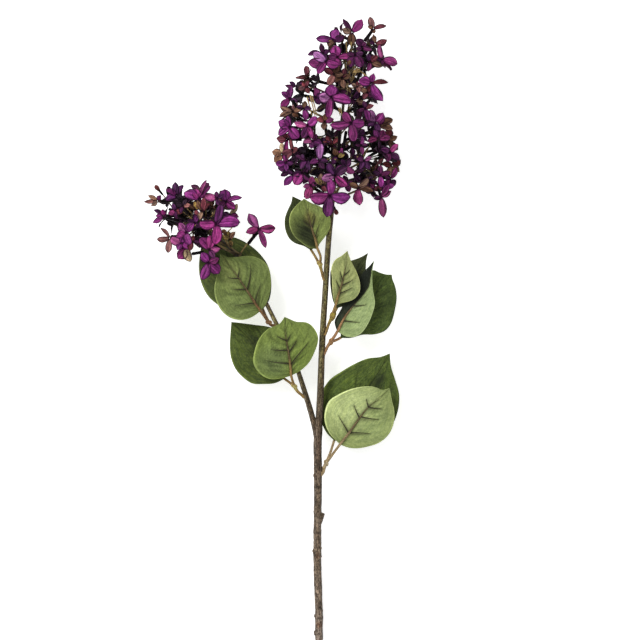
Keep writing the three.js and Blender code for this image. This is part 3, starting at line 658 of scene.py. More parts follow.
@dataclass(frozen=True)
class PetalFinish(Finish):
    """Dyed cloth of a petal: dark rim, fine fanned veins and paler blotches, darker towards the throat,
    with long lit streaks of painted highlight and dim streaks of painted shade.

    The patterns multiply the base colour, which is read from the attribute that `source` names. `foot` is
    the colour at the petal's foot, as far as `foot_share` along it, and `haze` greys what is lit a little.
    """

    BLOTCHES = Grain(240.0, 0.42, 0.64)
    STREAKS = Grain(900.0, 0.4, 0.7)
    LIT = Grain(1.0, 0.46, 0.6)
    LIT_STRETCH = (1.9, 0.8, 7.3)
    DIM = Grain(1.0, 0.48, 0.66)
    DIM_STRETCH = (2.7, 1.1, 3.1)
    THREADS = 2600.0

    source: str = "tint"
    rim: Colour = (0.13, 0.06, 0.16, 1.0)
    # Lightens both the paler blotches of the dye and the streaks of painted highlight.
    highlight_and_blotch: Colour = (2.35, 2.4, 2.3, 1.0)
    haze: Colour = srgb(214, 182, 200)
    foot: Colour = srgb(22, 6, 24)
    foot_share: float = 0.17
    rim_share: float = 0.9
    highlight_share: float = 0.72
    blotch_share: float = 0.35
    haze_share: float = 0.05
    dim_share: float = 0.9
    streak_share: float = 0.4
    vein_share: float = 0.5
    crease_share: float = 0.2

    def dress(self, nodes: Nodes, shader: Node) -> None:
        """Gives the shader its colour, roughness and relief.

        Args:
            nodes: The material's nodes.
            shader: Its shader.
        """
        place = nodes.add("ShaderNodeTexCoord").outputs["Object"]
        run = self.attribute(nodes, "run", "Vector")
        split = nodes.add("ShaderNodeSeparateXYZ", {0: run})
        across, along = split.outputs[0], split.outputs[1]
        out = nodes.math("ABSOLUTE", across)
        waver = nodes.add("ShaderNodeTexNoise", {"Vector": place, "Scale": 420.0, "Detail": 3.0}).outputs[0]
        lines = nodes.math("ADD", nodes.times(across, 5.0), nodes.times(waver, 1.3))
        ridge = nodes.math("ABSOLUTE", nodes.less(nodes.math("FRACT", lines), 0.5))
        veins = nodes.less(1.0, nodes.step(ridge, 0.03, 0.2))
        crease = nodes.less(1.0, nodes.step(out, 0.02, 0.16))
        blotches = nodes.mottle(place, self.BLOTCHES)
        lit = nodes.mottle(nodes.stretched(run, self.LIT_STRETCH), self.LIT)
        dim = nodes.mottle(nodes.stretched(run, self.DIM_STRETCH), self.DIM)
        colour = nodes.toned(
            self.attribute(nodes, self.source),
            # Painted highlight in long streaks along the petal; the blotches are paler dye.
            (self.highlight_and_blotch, lit, self.highlight_share),
            (self.highlight_and_blotch, blotches, self.blotch_share),
        )
        colour = nodes.toned(
            nodes.blend(nodes.times(lit, self.haze_share), colour, self.haze),
            # Painted shade in dim streaks along the petal.
            (self.rim, dim, self.dim_share),
            (self.rim, nodes.mottle(place, self.STREAKS), self.streak_share),
            (self.rim, veins, self.vein_share),
            (self.rim, crease, self.crease_share),
        )
        foot = nodes.less(1.0, nodes.step(along, 0.03, self.foot_share))
        colour = nodes.blend(nodes.times(foot, 0.8), colour, self.foot)
        worn = nodes.math("MULTIPLY_ADD", nodes.less(waver, 0.5), 0.3, out)
        edge = nodes.math("MAXIMUM", nodes.step(worn, 0.7, 0.9), nodes.step(along, 0.86, 0.97))
        colour = nodes.toned(colour, (self.rim, edge, self.rim_share))
        weave = nodes.group(Effects.weave, {"Vector": place, "Threads": self.THREADS})
        height = nodes.less(nodes.times(weave, 0.15), nodes.math("ADD", veins, crease))
        self.bump(nodes, shader, height, 0.45, 0.0003)
        rough = nodes.math("MULTIPLY_ADD", blotches, 0.14, self.roughness - 0.07)
        self.paint(nodes, shader, colour, rough, 0.14)


@dataclass(frozen=True)
class BarkFinish(Finish):
    """Coating moulded like bark: long streaks, dark cracks and specks, and pale scuffs."""

    STREAKS = Grain(0.7, 0.46, 0.6)
    CRACKS = Grain(1.0, 0.5, 0.62)
    SCUFFS = Grain(0.62, 0.5, 0.62)
    SPECKS = Grain(2.4, 0.48, 0.6)
    LONG = (1.0, 1.0, 0.16)
    SHORT = (1.0, 1.0, 0.5)

    crack: Colour = (0.26, 0.23, 0.21, 1.0)
    scuff: Colour = (2.0, 2.0, 2.05, 1.0)
    crack_share: float = 0.95
    scuff_share: float = 0.85
    relief: float = 0.9
    shine: float = 0.3

    def dress(self, nodes: Nodes, shader: Node) -> None:
        """Gives the shader its colour, roughness and relief.

        Args:
            nodes: The material's nodes.
            shader: Its shader.
        """
        run = self.attribute(nodes, "run", "Vector")
        short = nodes.stretched(run, self.SHORT)
        streaks = nodes.mottle(nodes.stretched(run, self.LONG), self.STREAKS)
        cracks = nodes.mottle(short, self.CRACKS)
        scuffs = nodes.mottle(short, self.SCUFFS)
        colour = nodes.toned(
            self.attribute(nodes, "tint"),
            (self.crack, streaks, self.crack_share * 0.7),
            (self.crack, nodes.mottle(short, self.SPECKS), self.crack_share * 0.3),
            (self.scuff, scuffs, self.scuff_share),
            (self.crack, cracks, self.crack_share),
        )
        height = nodes.less(nodes.times(scuffs, 0.5), nodes.math("ADD", cracks, streaks))
        self.bump(nodes, shader, height, self.relief, 0.0006)
        rough = nodes.math("MULTIPLY_ADD", cracks, 0.2, self.roughness)
        self.paint(nodes, shader, colour, rough, self.shine)


@dataclass(frozen=True)
class FloorFinish(Finish):
    """A plain pale surface with a trace of unevenness, lit a little from within."""

    CLOUDS = Grain(3.0, 0.3, 0.7)

    colour: Colour = (0.93, 0.93, 0.93, 1.0)
    shaded: Colour = (0.91605, 0.91605, 0.91605, 1.0)
    light: float = 0.58

    def dress(self, nodes: Nodes, shader: Node) -> None:
        """Gives the shader its colour and its light.

        Args:
            nodes: The material's nodes.
            shader: Its shader.
        """
        place = nodes.add("ShaderNodeTexCoord").outputs["Object"]
        colour = nodes.blend(nodes.mottle(place, self.CLOUDS), self.colour, self.shaded)
        nodes.link(colour, shader.inputs["Base Color"])
        nodes.link(colour, shader.inputs["Emission Color"])
        shader.inputs["Emission Strength"].default_value = self.light
        shader.inputs["Specular IOR Level"].default_value = 0.1


# On undersides the right edge is a paler cut edge, not painted shade.
UNDERSIDE = LeafFinish(
    "leaf_underside_cloth", 0.75, glow=(1.55, 1.5, 1.36, 1.0), far_edge=(1.9, 1.8, 1.95, 1.0),
    vein_share=0.2, shade_share=0.38, crease_share=0.32, relief=0.45,
)
UNDERSIDE_BELOW = replace(UNDERSIDE, name="leaf_underside_cloth_below", source="lining")
UPPER_FACE = LeafFinish(
    "leaf_upper_cloth", 0.68, glow=(1.8, 1.65, 1.15, 1.0),
    vein_share=0.75, shade_share=0.8, glow_share=0.75, grain_share=0.8, relief=0.7,
)
UPPER_FACE_BELOW = replace(UPPER_FACE, name="leaf_upper_cloth_below", source="lining")
LEAF_RIM = LeafFinish("leaf_rim_cloth", 0.8, glow=(1.5, 1.5, 1.4, 1.0), vein_share=0.0, relief=0.2)
PETAL_FACE = PetalFinish("petal_cloth_face", 0.65)
PETAL_BACK = PetalFinish("petal_cloth_back", 0.72, "lining", foot=srgb(88, 76, 42), foot_share=0.45)
PETAL_RIM = PetalFinish("petal_cloth_rim", 0.75, "lining", highlight_share=0.1, vein_share=0.0)
STEM_BARK = BarkFinish("stem_bark", 0.6)
STALK_COAT = BarkFinish("stalk_coating", 0.55, crack_share=0.7, scuff_share=0.6, relief=0.5)
TUBE_COAT = BarkFinish(
    "tube_coating", 0.5, (0.4, 0.3, 0.4, 1.0), (1.9, 1.7, 2.0, 1.0), scuff_share=0.5, relief=0.3,
    shine=0.08,
)
FLOOR = FloorFinish("pale_surface", 0.9)


# ---- Stem


@dataclass
class Stem:
    """The bark-coated stem from its cut end to the big head, and the side branch.

    Rows of `main` and `branch` are across, along, height and radius.
    """

    # Rings along and sides round.
    TRUNK_MESH = (210, 18)
    BRANCH_MESH = (96, 14)
    # The place of the stub of a cut shoot, and how near the stem's ends its bark stays smooth.
    SNAG = -204.0
    END = 0.5

    main: Rows = (
        (-1, -323, 3.4, 3.35), (-1.2, -290, 6.4, 3.35), (-2, -268, 8.4, 3.4), (-2.7, -240, 11, 3.45),
        (-2.6, -210, 13.8, 3.4), (-2.1, -170, 17.4, 3.45), (-2.2, -122, 22, 3.65), (-0.6, -96, 24.6, 3.1),
        (0.5, -70, 27.2, 2.85), (1.6, -38, 31, 2.7), (3, -8, 34.4, 2.6), (5, 24, 38, 2.5),
        (7.2, 60, 42.2, 2.35), (9, 84, 45.4, 2.25), (11.6, 110, 49, 2.1),
    )
    branch: Rows = (
        (-2.4, -122, 22, 2.5), (-5.6, -106, 23.6, 2.4), (-10.2, -89, 25.4, 2.3), (-15, -73, 27, 2.1),
        (-21.7, -52, 29.6, 1.75), (-30, -27, 33, 1.65), (-44, -3, 36.2, 1.55), (-54, 17, 38.4, 1.45),
        (-68, 42, 40.4, 1.35), (-79, 59, 41.8, 1.25),
    )
    # Across, along, height above the axis, radius, stretch.
    knots: Rows = (
        (-5.1, -156.5, 1.2, 1.7, 1.6), (-5.7, -233, 0.6, 2.1, 1.5), (0.4, -229.5, 0.4, 1.5, 1.2),
        (0.4, -238, -0.2, 1.5, 1.2), (-4.2, -298, 1, 1.7, 1.4), (1.9, -293, 0.6, 1.4, 1.2),
        (-4.6, -315.5, 0.2, 1.9, 1.5), (8.4, 53, 1.2, 1.4, 1.2), (-4.9, -181, 0.8, 1.1, 2.2),
        (-5.3, -196, 0.4, 0.9, 1.8), (0.9, -176, 0.9, 0.9, 1.6), (-5.6, -128, 0.6, 1.0, 1.8),
        (-5.4, -142, 0.2, 0.8, 2.0), (1.0, -150, 0.2, 2.1, 2.6),
    )
    # The places of rings round the stem, and the places where the coating has worn to orange.
    rings: Sequence[float] = (-168, -213, -236, -300)
    worn: Sequence[float] = (-237, -307)
    # Colours of the coating's patches. The dark one is also painted shade on the stem's right side and
    # edges, and the pale one is also a painted highlight on its left side.
    brown: Colour = srgb(104, 76, 48)
    dark: Colour = srgb(56, 48, 34)
    pale: Colour = srgb(150, 134, 116)
    orange: Colour = srgb(146, 92, 54)
    scar: Colour = srgb(52, 38, 28)
    cut: Colour = srgb(120, 112, 104)
    # The place along the stem and the colour of the coating there.
    coat: Rows = (
        (-323, *srgb(178, 160, 144)), (-290, *srgb(156, 136, 116)), (-240, *srgb(140, 120, 98)),
        (-170, *srgb(132, 112, 90)), (-125, *srgb(112, 90, 72)), (-95, *srgb(96, 80, 57)),
        (-60, *srgb(113, 103, 67)), (-20, *srgb(152, 144, 88)), (30, *srgb(138, 132, 78)),
        (60, *srgb(124, 117, 68)), (110, *srgb(118, 109, 64)),
    )
    # How far the bark stands out from the smooth form, and how much a ring swells it.
    bark: float = 0.6
    swelling: float = 0.07

    def coat_at(self, along: float) -> Colour:
        """The coating's colour at a place.

        Args:
            along: The place along the stem.

        Returns:
            The colour.
        """
        colour = tuple(read(self.coat, along, k) for k in range(1, 5))
        for place in self.worn:
            colour = mix_colour(colour, self.orange, 0.6 * (1 - smooth(1.0, 4.5, abs(along - place))))
        for place in self.rings:
            colour = mix_colour(colour, self.scar, 0.7 * (1 - smooth(0.4, 1.4, abs(along - place))))
        return colour

    def stops(self, rows: Rows, count: int) -> list[Stop]:
        """The rings of a stem, swollen where it has scars.

        Args:
            rows: The stem's table.
            count: How many rings follow the first.

        Returns:
            The rings in order.
        """
        line = Line([Vector(row[:3]) for row in rows])
        radii = [(i, row[3]) for i, row in enumerate(rows)]
        made = []
        for i in range(count + 1):
            t = line.parameter(i / count)
            centre = line.spot(t)
            radius = read(radii, t * (len(rows) - 1))
            near = min(abs(centre.y - place) for place in self.rings)
            swell = 1 + self.swelling * (1 - smooth(0.5, 3.0, near))
            made.append(Stop(centre, (radius + self.bark) * swell, self.coat_at(centre.y)))
        return made

    def roughen(self, shape: Shape, verts: Iterable[Vert], rows: Rows) -> None:
        """Raises the grain of the bark, deep low on the stem and faint higher up, varies its colour, and
        paints a highlight on its left side and shade on its right side and along both edges.

        Args:
            shape: The mesh.
            verts: The vertices to move.
            rows: The table of the stem that they belong to.
        """
        for vert in verts:
            run = Vector(vert[shape.run])
            depth = mix(0.42, 0.1, smooth(-130, -60, vert.co.y))
            grain = noise.noise(Vector((run.x * 0.55, run.y * 0.55, run.z * 0.11)))
            lumps = noise.noise(Vector((run.x * 0.3 + 9, run.y * 0.3, run.z * 0.4)))
            away = (vert.co - on_axis(rows, vert.co.y)).normalized()
            vert.co += away * depth * (0.9 * grain + 0.7 * lumps)
            young = smooth(-110, -60, vert.co.y)
            patch = noise.noise(Vector((run.x * 0.25, run.y * 0.25 + 7, run.z * 0.07)))
            for colour, share in (
                (self.brown, young * 0.75 * smooth(-0.1, 0.7, away.x + 0.6 * patch)),
                (self.dark, 0.55 * smooth(0.1, 0.5, patch - 0.4 * away.x * young)),
                (self.pale, (1 - young) * 0.5 * smooth(0.05, 0.5, -patch)),
                # Painted light and shade: a painted highlight on the left side, painted shade on the right
                # side, and more painted shade along both edges.
                (self.pale, 0.4 * smooth(0.1, 0.6, -away.x)),
                (self.dark, 0.35 * smooth(0.0, 0.7, away.x)),
                (self.dark, (0.75 if away.x > 0 else 0.5) * smooth(0.6, 0.98, abs(away.x))),
            ):
                vert[shape.tint] = mix_colour(vert[shape.tint], colour, share)

    def build(self) -> bpy.types.Object:
        """Builds the stem and its side branch as one piece.

        Returns:
            The piece.
        """
        shape = Shape()
        rows = self.main
        rings, sides = self.TRUNK_MESH
        trunk = shape.rod(self.stops(rows, rings), sides)
        first, last = rows[0][1] + self.END, rows[-1][1] - self.END
        self.roughen(shape, [vert for vert in trunk if first <= vert.co.y <= last], rows)
        rings, sides = self.BRANCH_MESH
        self.roughen(shape, shape.rod(self.stops(self.branch, rings), sides), self.branch)
        for x, y, rise, radius, stretch in self.knots:
            centre = Vector((x, y, read(rows, y, 2, 1) + rise))
            size = Vector((radius, radius * stretch, radius))
            turn = Quaternion(UP, 0.2 * draw(int(y), 1))
            shape.ball(centre, size, turn, (self.dark, self.coat_at(y)), 0.35)
        self.snag(shape)
        return shape.publish("stem_bark_coat", [STEM_BARK], "bark", ["stem"])

    def snag(self, shape: Shape) -> None:
        """Adds the stub of a cut shoot that leans up along the stem.

        Args:
            shape: The mesh.
        """
        bark = mix_colour(self.coat_at(self.SNAG), self.dark, 0.45)
        start = on_axis(self.main, self.SNAG) + Vector((1.2, -3.0, 0.6))
        rings = (
            ((0, 0, 0), 1.6, bark), ((1.4, 3.6, 0.3), 2.2, bark), ((2.8, 8.2, 0.4), 2.3, bark),
            ((4.1, 12.2, 0.3), 2.2, bark), ((4.4, 12.9, 0.3), 1.6, self.cut),
        )
        shape.rod([Stop(start + Vector(place), radius, tint) for place, radius, tint in rings], 10)


# ---- Leaves


@dataclass(frozen=True)
class Patch:
    """A soft patch of another colour on a blade: its middle, its reach and its strength.

    A patch of side -1 ends sharply at the midrib and lies to the left of it.
    """

    across: float
    along: float
    reach: float
    strength: float
    tint: Colour
    side: int = 0


@dataclass(frozen=True)
class Leaf:
    """A leaf laid out from its foot to its tip, as seen from above.

    Outlines are across and along. `height` is that of the midrib at the foot, the middle and the tip;
    `lift` is how far the left and the right edge stand above it, and `wave` how far they ripple; `veins`
    run from the midrib to a point on the blade. The ribs stand on the underside, which is turned up where
    `ribs_up` is true, and the midrib takes on the blade's colour between the two shares of its length
    given as `fade`. `pleats` is how strongly painted light and shade show across the pleats between the
    side veins. A left tint, where given, is painted shade over the left half.
    """

    name: str
    foot: tuple[float, float]
    tip: tuple[float, float]
    left: Spots
    right: Spots
    rib: Spots
    height: tuple[float, float, float]
    lift: tuple[float, float]
    wave: float
    ribs_up: bool
    veins: Sequence[tuple[float, float, float, float]]
    tint: Colour
    patches: Sequence[Patch] = ()
    # Painted shade over the left half, where given.
    left_shade_tint: Colour | None = None
    fade: tuple[float, float] = (0.6, 0.84)
    pleats: float = 0.75


class Blade:
    """The surface of a leaf, its cloth and the ribs that follow it."""

    COLUMNS = 44
    ROWS = 62
    THICKNESS = 0.5
    # Ripples along one edge, and steps in the search for the place nearest to a point.
    WAVES = 2.2
    SEARCH = 48
    # How steeply the pleats between the side veins rise from the midrib, and how far their painted light
    # and shade fades at the edge.
    SLOPE = 2.6
    FADING = 0.65
    # Painted shade for the folds along the midrib and the side veins.
    CREASE_SHADE = srgb(48, 50, 26)
    BELOW_DARK = srgb(62, 78, 38)
    BELOW_PALE = srgb(120, 132, 80)

    def __init__(self, leaf: Leaf, number: int) -> None:
        """Lays out the outline and the midrib.

        Args:
            leaf: The leaf's plan.
            number: The number that its variation is drawn from.
        """
        self.leaf = leaf
        self.number = number
        self.edges = [self._line(leaf.left), self._line(leaf.right)]
        self.rib = self._line(leaf.rib)

    def _line(self, inner: Spots) -> Line:
        """The curve from the foot through inner points to the tip."""
        points = [self.leaf.foot, *inner, self.leaf.tip]
        return Line([Vector((x, y, 0.0)) for x, y in points])

    def at(self, share: float, across: float) -> Vector:
        """The smooth middle surface.

        Args:
            share: The way from foot (0) to tip (1).
            across: The way from the left edge (-1) to the right one (1).

        Returns:
            The point.
        """
        leaf = self.leaf
        low, middle, high = leaf.height
        spread = math.sqrt(max(0.0, 4 * share * (1 - share)))
        side = 0 if across < 0 else 1
        point = self.rib.at(share).lerp(self.edges[side].at(share), abs(across))
        bow = 4 * share * (1 - share) * (middle - (low + high) / 2)
        lift = leaf.lift[side] * abs(across) ** 1.3
        sign = (across > 0) - (across < 0)
        ripple = leaf.wave * math.sin(2 * math.pi * (self.WAVES * share + 0.15 * sign)) * across * across
        point.z = mix(low, high, share) + bow + spread * (lift + ripple)
        return point

    def crease(self, x: float, y: float) -> float:
        """How near a point seen from above lies to a side vein.

        Args:
            x: Its place across.
            y: Its place along.

        Returns:
            1 on a vein, and 0 away from all.
        """
        near = math.inf
        for x0, y0, x1, y1 in self.leaf.veins:
            dx, dy = x1 - x0, y1 - y0
            t = min(1.0, max(0.0, ((x - x0) * dx + (y - y0) * dy) / (dx * dx + dy * dy)))
            near = min(near, math.hypot(x - x0 - dx * t, y - y0 - dy * t) + t)
        return 1 - smooth(0.4, 2.5, near)

    def fold(self, place: Vector, across: float) -> float:
        """How near a point lies to the midrib or a side vein, from 0 to 1."""
        return max(self.crease(place.x, place.y), 0.8 * (1 - smooth(0.01, 0.12, abs(across))))

    def surface(self, share: float, across: float) -> Vector:
        """The crumpled cloth's middle surface, folded up along its ribs.

        Args:
            share: The way from foot (0) to tip (1).
            across: The way from the left edge (-1) to the right one (1).

        Returns:
            The point.
        """
        place = self.at(share, across)
        crumple = noise.noise(Vector((place.x * 0.09, place.y * 0.09, self.number)))
        dimple = noise.noise(Vector((place.x * 0.3, place.y * 0.3, self.number + 5)))
        side = 1 if self.leaf.ribs_up else -1
        place.z += (0.7 * crumple + 0.25 * dimple) * min(1.0, 6 * share * (1 - share))
        place.z += 0.5 * side * self.fold(place, across)
        return place

    def form(self, across: float, along: float) -> tuple[Vector, Colour, Colour]:
        """The cloth at a point of its grid.

        Args:
            across: The place across, from -1 to 1.
            along: The place along, from 0 to 1.

        Returns:
            The point, and the colours of its face and of its back.
        """
        leaf = self.leaf
        share = 0.5 - 0.5 * math.cos(math.pi * along)
        place = self.surface(share, across)
        tint = leaf.left_shade_tint if leaf.left_shade_tint and across < -0.02 else leaf.tint
        for patch in leaf.patches:
            far = math.hypot(across - patch.across, 2 * (share - patch.along))
            if patch.side and across * patch.side < 0:
                continue
            tint = mix_colour(tint, patch.tint, patch.strength * (1 - smooth(0.2, 1.0, far / patch.reach)))
        out = abs(across)
        # Painted light and shade across the pleats between the side veins, fading towards the edge.
        run = Vector((2.4 * out + 9 * (across > 0), 8.5 * (self.SLOPE * share - out), self.number + 3))
        pleat = noise.noise(run)
        shading = 0.3 * smooth(0.0, 0.45, -pleat) - 0.42 * smooth(0.0, 0.45, pleat)
        red, green, blue, _ = tint
        light = 1 + leaf.pleats * shading * (1 - self.FADING * smooth(0.45, 1.0, out))
        tint = (red * light, green * light, blue * light, 1.0)
        # Painted shade in the folds along the midrib and the side veins.
        depth = (0.62 if leaf.ribs_up else 0.35) * self.fold(place, across)
        tint = mix_colour(tint, self.CREASE_SHADE, depth)
        return place, tint, self.BELOW_DARK if leaf.ribs_up else self.BELOW_PALE

    def cloth(self) -> bpy.types.Object:
        """Builds the blade.

        Returns:
            The piece.
        """
        shape = Shape()
        shape.sheet(self.COLUMNS, self.ROWS, self.form, self.number)
        for vert in shape.bm.verts:
            across, along, number = vert[shape.run]
            vert[shape.run] = (across, 0.5 - 0.5 * math.cos(math.pi * along), number)
        bmesh.ops.remove_doubles(shape.bm, verts=shape.bm.verts, dist=0.01)
        leaf = self.leaf
        faces = [UNDERSIDE, UPPER_FACE_BELOW] if leaf.ribs_up else [UPPER_FACE, UNDERSIDE_BELOW]
        slot = "leaf_underside" if leaf.ribs_up else "leaf_upper_face"
        return shape.publish(f"{leaf.name}_cloth", [*faces, LEAF_RIM], slot, [leaf.name], self.THICKNESS)

    def nearest(self, x: float, y: float, steps: int) -> tuple[float, float]:
        """The place on the blade that lies nearest to a point seen from above.

        Args:
            x: The point's place across.
            y: The point's place along.
            steps: How many steps are tried on each side of the midrib.

        Returns:
            The share from foot to tip, and the place across.
        """
        best = (math.inf, 0.0, 0.0)
        for i in range(self.SEARCH + 1):
            share = i / self.SEARCH
            for j in range(-steps, steps + 1):
                across = j / steps if steps else 0.0
                point = self.at(share, across)
                best = min(best, (math.hypot(point.x - x, point.y - y), share, across))
        return best[1], best[2]

    def rest(self, share: float, across: float, radius: float) -> Vector:
        """The axis of a rib that is bedded in the cloth's underside.

        Args:
            share: The way from foot (0) to tip (1).
            across: The way from the left edge (-1) to the right one (1).
            radius: The rib's radius.

        Returns:
            The point.
        """
        side = 1 if self.leaf.ribs_up else -1
        point = self.surface(share, across)
        point.z += side * max(radius, self.THICKNESS / 2 + 0.45 * radius)
        return point


# Leaf colours.
GREY_GREEN = srgb(136, 148, 92)
PALE_GREEN = srgb(150, 166, 114)
MID_GREEN = srgb(112, 127, 64)
DEEP_GREEN = srgb(72, 90, 42)
# Near-black green for painted shade on the back leaves.
SHADE_GREEN = srgb(28, 36, 22)
BROWN_STAIN = srgb(108, 84, 46)

